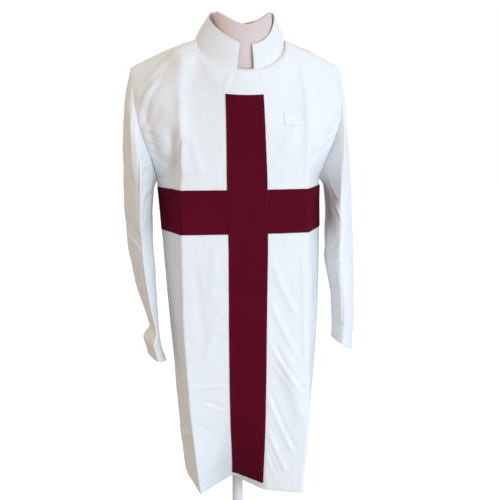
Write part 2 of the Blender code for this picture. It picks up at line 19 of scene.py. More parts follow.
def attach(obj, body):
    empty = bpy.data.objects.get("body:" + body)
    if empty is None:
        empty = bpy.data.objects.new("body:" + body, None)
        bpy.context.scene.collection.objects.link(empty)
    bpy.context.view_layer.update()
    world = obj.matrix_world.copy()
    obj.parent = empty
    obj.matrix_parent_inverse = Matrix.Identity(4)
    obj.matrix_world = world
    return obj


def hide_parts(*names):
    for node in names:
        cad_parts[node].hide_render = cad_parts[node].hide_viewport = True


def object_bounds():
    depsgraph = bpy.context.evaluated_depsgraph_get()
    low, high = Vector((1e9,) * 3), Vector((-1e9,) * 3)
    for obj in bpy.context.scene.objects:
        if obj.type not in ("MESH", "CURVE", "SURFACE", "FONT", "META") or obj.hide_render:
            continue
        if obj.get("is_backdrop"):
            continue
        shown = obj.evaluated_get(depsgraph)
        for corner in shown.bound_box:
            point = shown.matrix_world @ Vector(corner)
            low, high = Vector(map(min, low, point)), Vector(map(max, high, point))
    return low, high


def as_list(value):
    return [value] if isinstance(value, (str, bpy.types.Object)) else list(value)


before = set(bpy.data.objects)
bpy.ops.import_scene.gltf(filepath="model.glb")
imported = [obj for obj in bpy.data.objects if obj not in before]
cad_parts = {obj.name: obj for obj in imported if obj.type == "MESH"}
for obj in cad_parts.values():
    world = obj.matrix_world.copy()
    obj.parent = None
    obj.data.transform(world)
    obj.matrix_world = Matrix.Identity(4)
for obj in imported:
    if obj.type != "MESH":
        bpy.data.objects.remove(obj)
CAD_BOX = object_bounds()
LOG = logging.getLogger("surcoat")

# Round the body, s is -1 at the left side seam, 1 at the right one, 2 at the centre back and 3 at
# the left seam again. Up the body, t is 0 at the hem, 1 at the armpits and 2 at the top.
S_SCALE = 0.24
HEM_Z = 0.420
ARMPIT_Z = 1.147
YOKE_RISE = 0.266
S_NECK = 0.50
S_FOLD = 0.62
S_BAND_LEFT = -0.17
S_BAND_RIGHT = 0.125
S_POCKET = 0.335
CLOTH = 0.0014
TRIM = 0.0010
HEM_WIDTH = 0.020
BESIDE = np.array([-1.0, 0.0, 1.0])

Colour = tuple[float, float, float, float]
Line = tuple[np.ndarray, np.ndarray]


class Profile(Enum):
    """How a crease rises and falls across its width."""

    SOFT = "soft"
    PRESSED = "pressed"
    LAPPED = "lapped"


def smooth_step(value: np.ndarray) -> np.ndarray:
    """Rises softly from 0 to 1 as the value does."""
    value = np.clip(value, 0.0, 1.0)
    return value * value * (3.0 - 2.0 * value)


def near(gap: np.ndarray, reach: float) -> np.ndarray:
    """1 where there is no gap, falling softly to 0 past the reach."""
    return np.exp(-(gap / reach) ** 2)


def puckers(place: np.ndarray, pace: float, drift: float, height: float) -> np.ndarray:
    """Small uneven ripples along a seam.

    Args:
        place: The places along it.
        pace: How fast the ripples follow each other.
        drift: How fast that pace changes.
        height: How high they stand, in metres.

    Returns:
        The lift at each place.
    """
    return np.sin(place * pace + np.sin(place * drift)) * height


def unit(vectors: np.ndarray) -> np.ndarray:
    """The vectors at length one."""
    return vectors / np.maximum(np.linalg.norm(vectors, axis=-1, keepdims=True), 1e-12)


def soft_interp(value: np.ndarray, stops: Sequence[float], values: Sequence[float],
                reach: float) -> np.ndarray:
    """Linear interpolation with its corners rounded, and straight past both ends.

    Args:
        value: Where to read.
        stops: The places of the values, rising.
        values: One value for each stop.
        reach: How far each corner is rounded.

    Returns:
        The values read.
    """
    places = np.asarray(stops, float)
    heights = np.asarray(values, float)
    first = heights[0] - (heights[1] - heights[0]) / (places[1] - places[0]) * reach
    last = heights[-1] + (heights[-1] - heights[-2]) / (places[-1] - places[-2]) * reach
    places = np.concatenate([[places[0] - reach], places, [places[-1] + reach]])
    heights = np.concatenate([[first], heights, [last]])
    shifts = np.linspace(-reach, reach, 11)
    return np.mean([np.interp(value + shift, places, heights) for shift in shifts], axis=0)


def walked(points: np.ndarray, axis: int) -> np.ndarray:
    """The distance walked along rows or columns of points, from their first."""
    steps = np.linalg.norm(np.diff(points, axis=axis), axis=-1)
    start = np.zeros_like(np.take(steps, [0], axis=axis))
    return np.concatenate([start, np.cumsum(steps, axis=axis)], axis=axis)


def turned_edge(gap: np.ndarray, width: float, seam: float) -> np.ndarray:
    """The lift of an edge that is turned under and sewn down.

    Args:
        gap: How far each place is from the edge, in metres.
        width: The width turned under.
        seam: How far in the seam pulls the cloth down.

    Returns:
        The lift at each place.
    """
    fold = 0.00035 * smooth_step((width - gap) / 0.0015)
    return fold - 0.00030 * near(gap - seam, 0.0012)


@dataclass(frozen=True)
class Crease:
    """A fold, wrinkle or pressed line in a cloth, from one place to another.

    Places are (across, up) in the cloth's own measure, and widths and heights are in metres.
    """

    across0: float
    up0: float
    across1: float
    up1: float
    width: float
    height: float
    profile: Profile = Profile.SOFT
    bow: float = 0.0
    taper: float = 0.25

    def lift(self, across: np.ndarray, up: np.ndarray, scale: float) -> np.ndarray:
        """How far the crease moves the cloth out.

        Args:
            across: The places across the cloth.
            up: The places up the cloth, in metres.
            scale: Metres for each unit across.

        Returns:
            The lift at each place, in metres.
        """
        run_x, run_y = (self.across1 - self.across0) * scale, self.up1 - self.up0
        place_x, place_y = (across - self.across0) * scale, up - self.up0
        length = math.hypot(run_x, run_y)
        along = (place_x * run_x + place_y * run_y) / length ** 2
        off = (place_x * run_y - place_y * run_x) / length
        off = off - self.bow * 4.0 * along * (1.0 - along)
        ends = smooth_step(along / self.taper) * smooth_step((1.0 - along) / self.taper)
        share = off / self.width
        if self.profile is Profile.SOFT:
            shape = np.exp(-2.0 * share ** 2)
        elif self.profile is Profile.PRESSED:
            shape = np.exp(-1.8 * np.sqrt(share ** 2 + 0.02))
        else:
            shape = 2.33 * share * np.exp(-2.0 * share ** 2)
        return self.height * shape * ends


def creases(profile: Profile, *rows: tuple[float, ...]) -> tuple[Crease, ...]:
    """Creases of one profile.

    Args:
        profile: How each rises and falls.
        rows: For each, its two ends' places, then its width and height in millimetres, and for
            some how far its middle bows in millimetres and the share that its ends taper.

    Returns:
        The creases, in metres.
    """
    made = []
    for row in rows:
        width, height, bow = (0.001 * size for size in (*row[4:7], 0.0)[:3])
        made.append(Crease(*row[:4], width, height, profile, bow, *row[7:]))
    return tuple(made)


@dataclass(frozen=True)
class BodyCut:
    """The surcoat's body as it hangs: its sections, neck, shoulders and armholes."""

    rails: tuple[float, ...] = (-1.0, -S_FOLD, S_BAND_LEFT, S_BAND_RIGHT, S_FOLD, 1.0, 1.38, 2.0,
                                2.62)
    corner_reach: float = 0.045
    pressed_share: float = 0.75
    neck_x: float = 0.003
    neck_y: float = -0.030
    neck_z: float = 1.465
    neck_half_width: float = 0.103
    neck_depths: tuple[float, float] = (0.075, 0.055)
    neck_drops: tuple[float, float] = (0.0675, 0.004)
    shoulder: tuple[float, float, float] = (0.246, -0.010, 1.402)
    shoulder_bow: float = 0.004
    armhole_swell: tuple[float, float] = (-0.046, 0.048)
    hem_dip: float = 0.010

    def levels(self) -> list[tuple[float, ...]]:
        """One row for each level: its height, then the x and y of every rail."""
        return [
            # z      seam L         fold L          band L          band R
            #        fold R         seam R          back R          centre         back L
            (0.420, -0.126, 0.010, -0.108, -0.138, -0.018, -0.030, 0.042, -0.126,
             0.134, -0.146, 0.154, 0.010, 0.130, 0.146, 0.004, 0.132, -0.118, 0.148),
            (0.490, -0.136, 0.010, -0.118, -0.136, -0.027, -0.082, 0.044, -0.132,
             0.142, -0.141, 0.168, 0.008, 0.142, 0.138, 0.006, 0.130, -0.128, 0.136),
            (0.580, -0.145, 0.008, -0.129, -0.136, -0.036, -0.118, 0.046, -0.137,
             0.150, -0.138, 0.183, 0.004, 0.152, 0.124, 0.006, 0.124, -0.132, 0.120),
            (0.680, -0.152, 0.004, -0.137, -0.136, -0.040, -0.132, 0.047, -0.139,
             0.149, -0.136, 0.194, 0.000, 0.156, 0.114, 0.004, 0.118, -0.138, 0.112),
            (0.830, -0.166, 0.000, -0.146, -0.135, -0.042, -0.139, 0.048, -0.140,
             0.144, -0.134, 0.201, -0.006, 0.158, 0.106, 0.002, 0.112, -0.148, 0.104),
            (1.000, -0.180, -0.006, -0.147, -0.131, -0.042, -0.138, 0.051, -0.138,
             0.144, -0.131, 0.202, -0.010, 0.158, 0.100, 0.000, 0.108, -0.151, 0.100),
            (1.147, -0.193, -0.010, -0.146, -0.124, -0.045, -0.133, 0.050, -0.133,
             0.147, -0.124, 0.200, -0.010, 0.156, 0.098, 0.000, 0.107, -0.154, 0.098),
        ]

    def level(self, s: np.ndarray, z: np.ndarray) -> np.ndarray:
        """The points of the body's closed section at heights below the armpits."""
        rows = self.levels()
        heights = [row[0] for row in rows]
        count = len(self.rails)
        rail_x, rail_y = (
            np.array([soft_interp(z, heights, [row[1 + axis + 2 * i] for row in rows], 0.03)
                      for i in range(count)]) for axis in range(2))
        stops = np.array(self.rails + (self.rails[0] + 4.0,))
        total = np.zeros((2,) + s.shape)
        shifts = np.linspace(-self.corner_reach, self.corner_reach, 11)
        pressed = near(s + S_FOLD, 0.07) + 0.5 * near(s - S_FOLD, 0.07)
        for shift in shifts:
            place = s + shift * (1.0 - self.pressed_share * pressed)
            place = (place + 1.0) % 4.0 - 1.0
            low = np.clip(np.searchsorted(stops, place, side="right") - 1, 0, count - 1)
            share = (place - stops[low]) / (stops[low + 1] - stops[low])
            index = np.arange(s.size)
            for axis, rail in enumerate((rail_x, rail_y)):
                start, end = rail[low, index], rail[(low + 1) % count, index]
                total[axis] += (start + (end - start) * share) / len(shifts)
        dip = self.hem_dip * near(s - 0.55, 0.45)
        dip = dip * smooth_step(1.0 - (z - HEM_Z) / 0.25)
        return np.stack([total[0], total[1], z - dip], axis=-1)

    def neckline(self, angle: np.ndarray) -> np.ndarray:
        """Points on the neck seam, from the centre front at 0 round to the back at pi."""
        turn = np.cos(angle)
        depth = np.where(turn > 0, self.neck_depths[0], self.neck_depths[1])
        drop = np.where(turn > 0, self.neck_drops[0], -self.neck_drops[1])
        return np.stack([self.neck_x + self.neck_half_width * np.sin(angle),
                         self.neck_y - depth * turn, self.neck_z - drop * turn], axis=-1)

    def top(self, s: np.ndarray, back: bool) -> np.ndarray:
        """Points on a panel's upper edge: its half of the neck, and its shoulders."""
        local = s - 2.0 if back else s
        side = np.where(local < 0.0, -1.0, 1.0) * (-1.0 if back else 1.0)
        angle = 0.5 * math.pi * local / S_NECK
        neck = self.neckline(math.pi + angle if back else angle)
        along = np.clip((np.abs(local) - S_NECK) / (1.0 - S_NECK), 0.0, None)[:, None]
        foot = self.neckline(side * 0.5 * math.pi)
        tip = np.stack([side * self.shoulder[0], np.full_like(side, self.shoulder[1]),
                        np.full_like(side, self.shoulder[2])], axis=-1)
        shoulder = foot + (tip - foot) * along
        shoulder[:, 2] += self.shoulder_bow * np.sin(math.pi * along[:, 0])
        return np.where((np.abs(local) <= S_NECK)[:, None], neck, shoulder)

    def armhole(self, side: float, share: np.ndarray, back: bool) -> np.ndarray:
        """Points on an armhole seam, from the armpit at 0 to the shoulder tip at 1."""
        share = np.asarray(share, float)
        armpit = self.level(np.array([side]), np.array([ARMPIT_Z]))[0]
        reach = np.sin(0.5 * math.pi * share) ** 1.2
        overhang = 0.006 * np.sin(math.pi * share) ** 2
        swell = self.armhole_swell[1 if back else 0]
        return np.stack([
            armpit[0] + (side * self.shoulder[0] - armpit[0]) * reach + side * overhang,
            armpit[1] + (self.shoulder[1] - armpit[1]) * share + swell * np.sin(math.pi * share),
            ARMPIT_Z + (self.shoulder[2] - ARMPIT_Z) * share,
        ], axis=-1)

    def _blend(self, s: np.ndarray, share: np.ndarray, back: bool) -> np.ndarray:
        """Points of the yoke, from the section at the armpits to the upper edge."""
        foot = self.level(s, np.full_like(s, ARMPIT_Z))
        reach = 0.22 * smooth_step((1.0 - share) / 0.30)
        top = np.mean([self.top(s + reach * shift, back)
                       for shift in np.linspace(-1.0, 1.0, 9)], axis=0)
        bulge = (1.0 - share ** 2.1) ** (1.0 / 2.1)
        point = foot + (top - foot) * share[:, None]
        point[:, 1] = top[:, 1] + (foot[:, 1] - top[:, 1]) * bulge
        rise = top[:, 2] - ARMPIT_Z - YOKE_RISE
        rise = YOKE_RISE + rise * smooth_step((share - 0.5) / 0.5)
        point[:, 2] = ARMPIT_Z + rise * share
        return point

    def body(self, s: np.ndarray, t: np.ndarray, back: bool) -> np.ndarray:
        """Points on the body's cloth.

        Args:
            s: Places round the body.
            t: Places up the body, 0 to 2.
            back: Whether they are on the back panel.

        Returns:
            One point for each place.
        """
        low = self.level(s, HEM_Z + (ARMPIT_Z - HEM_Z) * np.clip(t, 0.0, 1.0))
        share = np.clip(t - 1.0, 0.0, 1.0)
        local = s - 2.0 if back else s
        side = np.where(local < 0.0, -1.0, 1.0) * (-1.0 if back else 1.0)
        outer = np.where(side < 0.0, 3.0 if back else -1.0, 1.0)
        high = self._blend(s, share, back)
        edge = self._blend(outer, share, back)
        seam = np.where((side < 0.0)[:, None], self.armhole(-1.0, share, back),
                        self.armhole(1.0, share, back))
        near = smooth_step((np.abs(local) - S_NECK) / (1.0 - S_NECK))[:, None]
        high = high + (seam - edge) * near
        return np.where((share > 0.0)[:, None], high, low)


# The largest folds: places are (s, z).
LARGE_FOLDS = (
    creases(Profile.SOFT,
            (-0.5, 1.45, -0.93, 1.3, 34, 11), (-0.62, 1.43, -0.97, 1.255, 26, -6),
            (0.86, 1.39, 0.97, 1.29, 22, 6), (0.3, 0.78, 0.56, 0.56, 30, 6),
            (1.55, 1.3, 1.75, 1.05, 35, 6), (2.45, 1.32, 2.22, 1.0, 35, 7),
            (1.8, 0.95, 1.7, 0.45, 40, 9), (2.3, 0.9, 2.38, 0.45, 45, -9))
)

# The smaller creases of the front, from the shoulders down.
FRONT_CREASES = (
    # The shoulder and armhole at the left.
    creases(Profile.SOFT,
            (-0.56, 1.452, -0.9, 1.352, 10, 3.5, 6), (-0.66, 1.42, -0.96, 1.33, 8, -3, 4),
            (-0.8, 1.33, -0.99, 1.238, 8, 2.8), (-0.78, 1.18, -0.97, 1.215, 8, -2.6),
            (-0.92, 1.31, -0.9, 1.18, 14, -4))
    + creases(Profile.LAPPED,
            (-0.74, 1.385, -0.98, 1.268, 9, 3, 6), (-0.82, 1.252, -0.995, 1.262, 6, 2.8),
            (-0.84, 1.224, -0.995, 1.24, 6, 2.6))
    # The hollow above the cross's left arm.
    + creases(Profile.SOFT,
            (-0.7, 1.285, -0.77, 1.118, 20, -15, 0, 0.3))
    + creases(Profile.LAPPED,
            (-0.62, 1.262, -0.72, 1.14, 10, 5, 4), (-0.7, 1.205, -0.94, 1.15, 7, 2.8))
    # Pressed lines down the left front and the chest.
    + creases(Profile.LAPPED,
            (0.6, 1.405, 0.622, 1.292, 4, 2, 0, 0.12), (0.24, 1.304, 0.64, 1.304, 4, 1.6, 0, 0.12))
    + creases(Profile.PRESSED,
            (-0.645, 1.39, -0.625, 1.165, 4.5, 0.8), (-0.52, 1.36, -0.5, 1.18, 5, 0.7),
            (-0.62, 1.15, -0.62, 0.425, 4, 0.9, 0, 0.04),
            (0.62, 1.15, 0.62, 0.425, 6.5, 1.4, 0, 0.1))
    # Under the collar's notch.
    + creases(Profile.SOFT,
            (-0.095, 1.392, -0.185, 1.348, 5, 1.6), (-0.06, 1.394, -0.13, 1.352, 4, -1.2),
            (0.08, 1.395, 0.15, 1.362, 4.5, 1))
    # The chest at the right.
    + creases(Profile.SOFT,
            (0.84, 1.196, 0.99, 1.234, 6, 2.4), (0.86, 1.29, 0.93, 1.165, 8, -4),
            (0.52, 1.18, 0.8, 1.215, 12, -2), (0.3, 1.2, 0.52, 1.29, 24, 3))
    + creases(Profile.LAPPED,
            (0.14, 1.262, 0.42, 1.246, 5, 1.4, 3), (0.145, 1.244, 0.33, 1.236, 4, 1.2),
            (0.74, 1.338, 0.985, 1.278, 8, 3.2, -4), (0.8, 1.23, 0.985, 1.262, 7, 2.6),
            (0.9, 1.215, 0.985, 1.16, 6, 3))
    # Above the cross's arms.
    + creases(Profile.SOFT,
            (-0.56, 1.148, -0.88, 1.205, 15, -4), (-0.4, 1.15, -0.55, 1.26, 18, 2.2))
    + creases(Profile.LAPPED,
            (-0.7, 1.122, -0.97, 1.098, 6, 3), (-0.74, 1.05, -0.98, 1.078, 6, 2.8))
    # Below the arms, at the left.
    + creases(Profile.SOFT,
            (-0.28, 1.02, -0.34, 0.86, 14, 1.6), (-0.5, 0.98, -0.42, 0.76, 18, -2),
            (-0.19, 0.9, -0.44, 0.73, 18, 1.8), (-0.58, 0.59, -0.34, 0.56, 9, -1.3),
            (-0.3, 0.56, -0.42, 0.45, 16, 3), (-0.68, 0.56, -0.96, 0.52, 10, 2.6))
    + creases(Profile.LAPPED,
            (-0.6, 0.684, -0.18, 0.68, 5.5, 1.6, 3), (-0.52, 0.64, -0.2, 0.612, 8, 1.6, -3),
            (-0.66, 0.73, -0.93, 0.742, 6, 2.4))
    # Below the arms, at the right.
    + creases(Profile.SOFT,
            (0.15, 0.98, 0.52, 0.825, 13, 2.6, 6), (0.135, 0.89, 0.56, 0.715, 12, 2.6, 5),
            (0.16, 0.735, 0.44, 0.65, 8, 1.6), (0.135, 0.575, 0.42, 0.448, 8, 2.6, 4),
            (0.7, 0.98, 0.68, 0.72, 12, 4), (0.85, 0.96, 0.83, 0.6, 16, -4))
    + creases(Profile.LAPPED,
            (0.15, 0.79, 0.6, 0.64, 10, 3, 6), (0.14, 0.682, 0.6, 0.679, 6, 1),
            (0.135, 0.665, 0.52, 0.492, 10, 3, 6), (0.14, 0.51, 0.28, 0.445, 6, 2),
            (0.57, 1.0, 0.59, 0.7, 6, 2.4))
)

BACK_CREASES = (
    creases(Profile.SOFT,
            (1.46, 1.44, 1.12, 1.33, 12, 4, 6), (2.55, 1.446, 2.88, 1.33, 13, 4.5, -6),
            (1.62, 1.12, 1.95, 1.05, 14, 3), (1.5, 0.98, 1.72, 0.76, 15, 3.4, 8),
            (2.5, 0.96, 2.28, 0.72, 15, 3.4, -8), (1.95, 0.9, 2.05, 0.44, 30, 5),
            (1.5, 0.62, 1.62, 0.44, 16, 3.6), (2.7, 0.9, 2.72, 0.52, 12, 3.4),
            (1.18, 0.96, 1.22, 0.56, 14, -4))
    + creases(Profile.LAPPED,
            (1.4, 1.39, 1.06, 1.25, 12, 3.4, 8), (2.62, 1.38, 2.93, 1.24, 11, 3.4, -6),
            (1.02, 1.22, 1.22, 1.17, 8, 3), (2.98, 1.215, 2.8, 1.16, 8, 3),
            (2.38, 1.13, 2.1, 1.04, 12, 3), (1.45, 0.8, 1.8, 0.64, 9, 3, 6),
            (2.58, 0.72, 2.2, 0.6, 9, 3), (2.1, 0.7, 2.4, 0.69, 6, 1.8))
    + creases(Profile.PRESSED,
            (2.0, 1.44, 2.02, 1.18, 5, 1.2), (1.38, 1.13, 1.38, 0.44, 6, 1.8, 0, 0.1),
            (2.62, 1.13, 2.62, 0.44, 6, 2.2, 0, 0.1))
)


@dataclass(frozen=True)
class Grid:
    """A cloth's places and points, in rows from its foot to its head."""

    across: np.ndarray
    up: np.ndarray
    points: np.ndarray

    def normals(self, closed: bool = False) -> np.ndarray:
        """Unit directions out of the cloth.

        Args:
            closed: Whether the last column repeats the first.

        Returns:
            One direction for each point.
        """
        if closed:
            points = np.concatenate([self.points[:, -2:-1], self.points, self.points[:, 1:2]], 1)
            across = points[:, 2:] - points[:, :-2]
        else:
            across = np.gradient(self.points, axis=1)
        return unit(np.cross(across, np.gradient(self.points, axis=0)))

    def grown(self, edges: str, reach: float) -> "Grid":
        """The grid with some borders moved on past their seams, so that no gap shows.

        Args:
            edges: The borders, of "left", "right", "foot" and "head".
            reach: How far they go on, in metres.

        Returns:
            The grown grid.
        """
        points = self.points.copy()
        borders = {"left": (np.s_[:, 0], np.s_[:, 1]), "right": (np.s_[:, -1], np.s_[:, -2]),
                   "foot": (np.s_[0], np.s_[1]), "head": (np.s_[-1], np.s_[-2])}
        for edge in edges.split():
            border, inside = borders[edge]
            points[border] += unit(points[border] - points[inside]) * reach
        return Grid(self.across, self.up, points)

    def moved(self, lift: np.ndarray, closed: bool = False, facing: float = 1.0) -> "Grid":
        """The grid with each point moved out by its lift."""
        out = self.normals(closed) * facing
        return Grid(self.across, self.up, self.points + out * lift[..., None])

    def line(self, out: float, upright: bool = False, closed: bool = False,
             facing: float = 1.0) -> Line:
        """The grid's second row or column as a line on the cloth's outer face, for stitches.

        Args:
            out: How far the line lies out from the cloth's middle, in metres.
            upright: Whether it is the column.
            closed: Whether the last column repeats the first.
            facing: -1 where the grid's normals point inwards.

        Returns:
            The line's points, and the directions out of the cloth there.
        """
        normals = self.normals(closed) * facing
        pick = np.s_[:, 1] if upright else np.s_[1]
        return (self.points + normals * out)[pick], normals[pick]


def uneven(points: np.ndarray, size: float, height: float, shift: float) -> np.ndarray:
    """Soft unevenness of worn cloth.

    Args:
        points: The cloth's points.
        size: The size of a hollow, in metres.
        height: How far it moves the cloth, in metres.
        shift: Sets one cloth's pattern apart from another's.

    Returns:
        The lift at each point.
    """
    flat = points.reshape(-1, 3) / size + shift
    values = [noise.noise(Vector(place)) for place in flat]
    return height * np.array(values).reshape(points.shape[:2])


def make_object(name: str, bm: bmesh.types.BMesh, material: bpy.types.Material,
                node: str = "") -> bpy.types.Object:
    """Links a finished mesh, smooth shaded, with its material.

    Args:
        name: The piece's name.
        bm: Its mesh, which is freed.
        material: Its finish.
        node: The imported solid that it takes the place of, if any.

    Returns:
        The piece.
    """
    mesh = bpy.data.meshes.new(name)
    bm.to_mesh(mesh)
    bm.free()
    mesh.materials.append(material)
    mesh.shade_smooth()
    piece = bpy.data.objects.new(name, mesh)
    bpy.context.scene.collection.objects.link(piece)
    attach(piece, "root")
    if node:
        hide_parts(node)
    LOG.info(name)
    return piece


def cloth_object(name: str, node: str, grid: Grid, thickness: float,
                 material: bpy.types.Material,
                 scale: float = S_SCALE, closed: bool = False) -> bpy.types.Object:
    """A thin cloth shell through a grid of points, with its weave's UV map in metres.

    Args:
        name: The piece's name.
        node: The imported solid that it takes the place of.
        grid: The points of the cloth's middle.
        thickness: The cloth's thickness.
        material: Its finish.
        scale: Metres for each unit across.
        closed: Whether the last column meets the first.

    Returns:
        The piece.
    """
    rows, columns = grid.points.shape[:2]
    bm = bmesh.new()
    bmesh.ops.create_grid(bm, x_segments=columns - 1, y_segments=rows - 1, size=0.5)
    bm.verts.ensure_lookup_table()
    flat = np.array([vert.co[:2] for vert in bm.verts]) + 0.5
    row = np.rint(flat[:, 1] * (rows - 1)).astype(int)
    column = np.rint(flat[:, 0] * (columns - 1)).astype(int)
    places = grid.points[row, column]
    weave = np.stack([grid.across[row, column] * scale, grid.up[row, column]], axis=-1)
    for vert, place in zip(bm.verts, places):
        vert.co = place
    layer = bm.loops.layers.uv.new("weave")
    for face in bm.faces:
        for loop in face.loops:
            loop[layer].uv = weave[loop.vert.index]
    if closed:
        bmesh.ops.remove_doubles(bm, verts=bm.verts[:], dist=1e-6)
    piece = make_object(name, bm, material, node)
    solid = piece.modifiers.new("thickness", "SOLIDIFY")
    solid.thickness = thickness
    solid.offset = 0.0
    weighted = piece.modifiers.new("face normals", "WEIGHTED_NORMAL")
    weighted.mode = "FACE_AREA"
    weighted.weight = 100
    return piece


@dataclass
class Wrap:
    """A socket of a shader's node, which Python's operators make expressions of."""

    book: "Shader"
    socket: bpy.types.NodeSocket

    def _math(self, operation: str, first: object, second: object) -> "Wrap":
        """One Math node on two values or sockets."""
        return self.book.node("ShaderNodeMath", {"operation": operation}, {0: first, 1: second})

    def __add__(self, other: object) -> "Wrap":
        """The sum."""
        return self._math("ADD", self, other)

    __radd__ = __add__

    def __mul__(self, other: object) -> "Wrap":
        """The product."""
        return self._math("MULTIPLY", self, other)

    __rmul__ = __mul__

    def sine(self) -> "Wrap":
        """The sine."""
        return self.book.node("ShaderNodeMath", {"operation": "SINE"}, {0: self})


class Shader:
    """The node tree of a material or the world, built from expressions."""

    def __init__(self, owner: bpy.types.Material | bpy.types.World) -> None:
        """Starts on the owner's own tree: a material's holds one Principled shader."""
        self.owner = owner
        owner.use_nodes = True
        self.tree = owner.node_tree

    def node(self, kind: str, settings: dict[str, object] | None = None,
             inputs: dict[object, object] | None = None, output: object = 0) -> Wrap:
        """Any node.

        Args:
            kind: The node's type.
            settings: Its own settings, set first.
            inputs: Values or links for its sockets.
            output: Which of its outputs to give back.

        Returns:
            The wrapped output.
        """
        made = self.tree.nodes.new(kind)
        for key, value in (settings or {}).items():
            setattr(made, key, value)
        for key, value in (inputs or {}).items():
            self.feed(made.inputs[key], value)
        return Wrap(self, made.outputs[output])

    def feed(self, socket: bpy.types.NodeSocket, value: object) -> None:
        """Links a socket, or sets it to a plain value."""
        if isinstance(value, Wrap):
            self.tree.links.new(value.socket, socket)
        else:
            socket.default_value = value

    def place(self) -> Wrap:
        """The place on the object, in metres."""
        return self.node("ShaderNodeTexCoord", {}, {}, "Object")

    def noise(self, place: Wrap, scale: float, detail: float = 2.0,
              roughness: float = 0.5) -> Wrap:
        """A noise of a scale, detail and roughness."""
        return self.node("ShaderNodeTexNoise", {}, {"Vector": place, "Scale": scale,
                                                    "Detail": detail, "Roughness": roughness})

    def bump(self, height: Wrap, strength: float, depth: float,
             under: Wrap | None = None) -> Wrap:
        """A normal bent by a height, on top of another normal if one is given."""
        below = {"Normal": under} if under else {}
        return self.node("ShaderNodeBump", {}, {"Strength": strength, "Distance": depth,
                                                "Height": height, **below})

    def mix(self, share: object, first: object, second: object) -> Wrap:
        """A mix of two colours."""
        return self.node("ShaderNodeMix", {"data_type": "RGBA"},
                         {"Factor": share, 6: first, 7: second}, 2)

    def set(self, **values: object) -> None:
        """Sets the surface's sockets, with underscores for the spaces in their names."""
        surface = self.tree.nodes["Principled BSDF"]
        for key, value in values.items():
            self.feed(surface.inputs[key.replace("_", " ")], value)


@dataclass(frozen=True)
class WovenCotton:
    """Plain woven cotton: two crossing sets of threads, slubs and a soft sheen."""

    name: str
    colour: Colour
    shade: Colour
    pitch: float = 0.00055
    roughness: float = 0.86
    sheen: float = 0.12
    gloss: float = 0.2
    weave_depth: float = 0.00012
    slub_depth: float = 0.00025
    crumple_depth: float = 0.0016

    def make(self) -> bpy.types.Material:
        """Builds the material."""
        book = Shader(bpy.data.materials.new(self.name))
        uv = book.node("ShaderNodeUVMap", {"uv_map": "weave"})
        turns = math.tau / self.pitch
        across, along = (book.node("ShaderNodeSeparateXYZ", {}, {0: uv}, i) for i in range(2))
        weave = (across * turns).sine() * (along * turns).sine() * 0.5 + 0.5
        tall = book.node("ShaderNodeMapping", {}, {"Vector": uv, "Scale": (900.0, 22.0, 1.0)})
        wide = book.node("ShaderNodeMapping", {}, {"Vector": uv, "Scale": (22.0, 900.0, 1.0)})
        slub = (book.noise(tall, 1.0) + book.noise(wide, 1.0)) * 0.5
        place = book.place()
        cloud = book.noise(place, 9.0, 3.0)
        crumple = book.noise(place, 42.0, 4.0, 0.6)
        tone = book.node("ShaderNodeMapRange", {},
                         {"Value": slub * 0.6 + cloud * 0.4, 1: 0.35, 2: 0.65, 3: 0.0, 4: 1.0})
        book.set(Base_Color=book.mix(tone, self.shade, self.colour))
        bump = book.bump(weave, 0.5, self.weave_depth)
        bump = book.bump(slub, 0.6, self.slub_depth, bump)
        bump = book.bump(crumple, 0.5, self.crumple_depth, bump)
        book.set(Roughness=self.roughness, Normal=bump, Sheen_Weight=self.sheen,
                 Sheen_Roughness=0.45, Specular_IOR_Level=self.gloss)
        return book.owner


@dataclass(frozen=True)
class SpunThread:
    """Twisted sewing thread."""

    name: str
    colour: Colour

    def make(self) -> bpy.types.Material:
        """Builds the material."""
        book = Shader(bpy.data.materials.new(self.name))
        fuzz = book.noise(book.place(), 1800.0)
        dark = tuple(0.82 * part for part in self.colour[:3]) + (1.0,)
        book.set(Base_Color=book.mix(fuzz, dark, self.colour), Roughness=0.65)
        return book.owner


@dataclass(frozen=True)
class MouldedSkin:
    """The form's smooth moulded plastic, pale pink and satin."""

    name: str = "form_moulding"
    colour: Colour = (0.76, 0.63, 0.61, 1.0)
    shade: Colour = (0.70, 0.56, 0.54, 1.0)

    def make(self) -> bpy.types.Material:
        """Builds the material."""
        book = Shader(bpy.data.materials.new(self.name))
        place = book.place()
        cloud = book.noise(place, 14.0, 3.0)
        bump = book.bump(book.noise(place, 700.0), 0.15, 0.0002)
        book.set(Base_Color=book.mix(cloud, self.shade, self.colour),
                 Roughness=cloud * 0.12 + 0.42, Normal=bump, Specular_IOR_Level=0.35)
        return book.owner


@dataclass(frozen=True)
class PowderCoat:
    """Satin white powder coat on metal, faintly pebbled and a little rubbed."""

    name: str = "stand_coat"
    colour: Colour = (0.88, 0.88, 0.88, 1.0)
    rubbed: Colour = (0.80, 0.80, 0.79, 1.0)

    def make(self) -> bpy.types.Material:
        """Builds the material."""
        book = Shader(bpy.data.materials.new(self.name))
        place = book.place()
        worn = book.noise(place, 24.0, 4.0)
        bump = book.bump(book.noise(place, 900.0), 0.2, 0.0002)
        book.set(Base_Color=book.mix(worn, self.rubbed, self.colour),
                 Roughness=worn * 0.2 + 0.33, Normal=bump)
        return book.owner


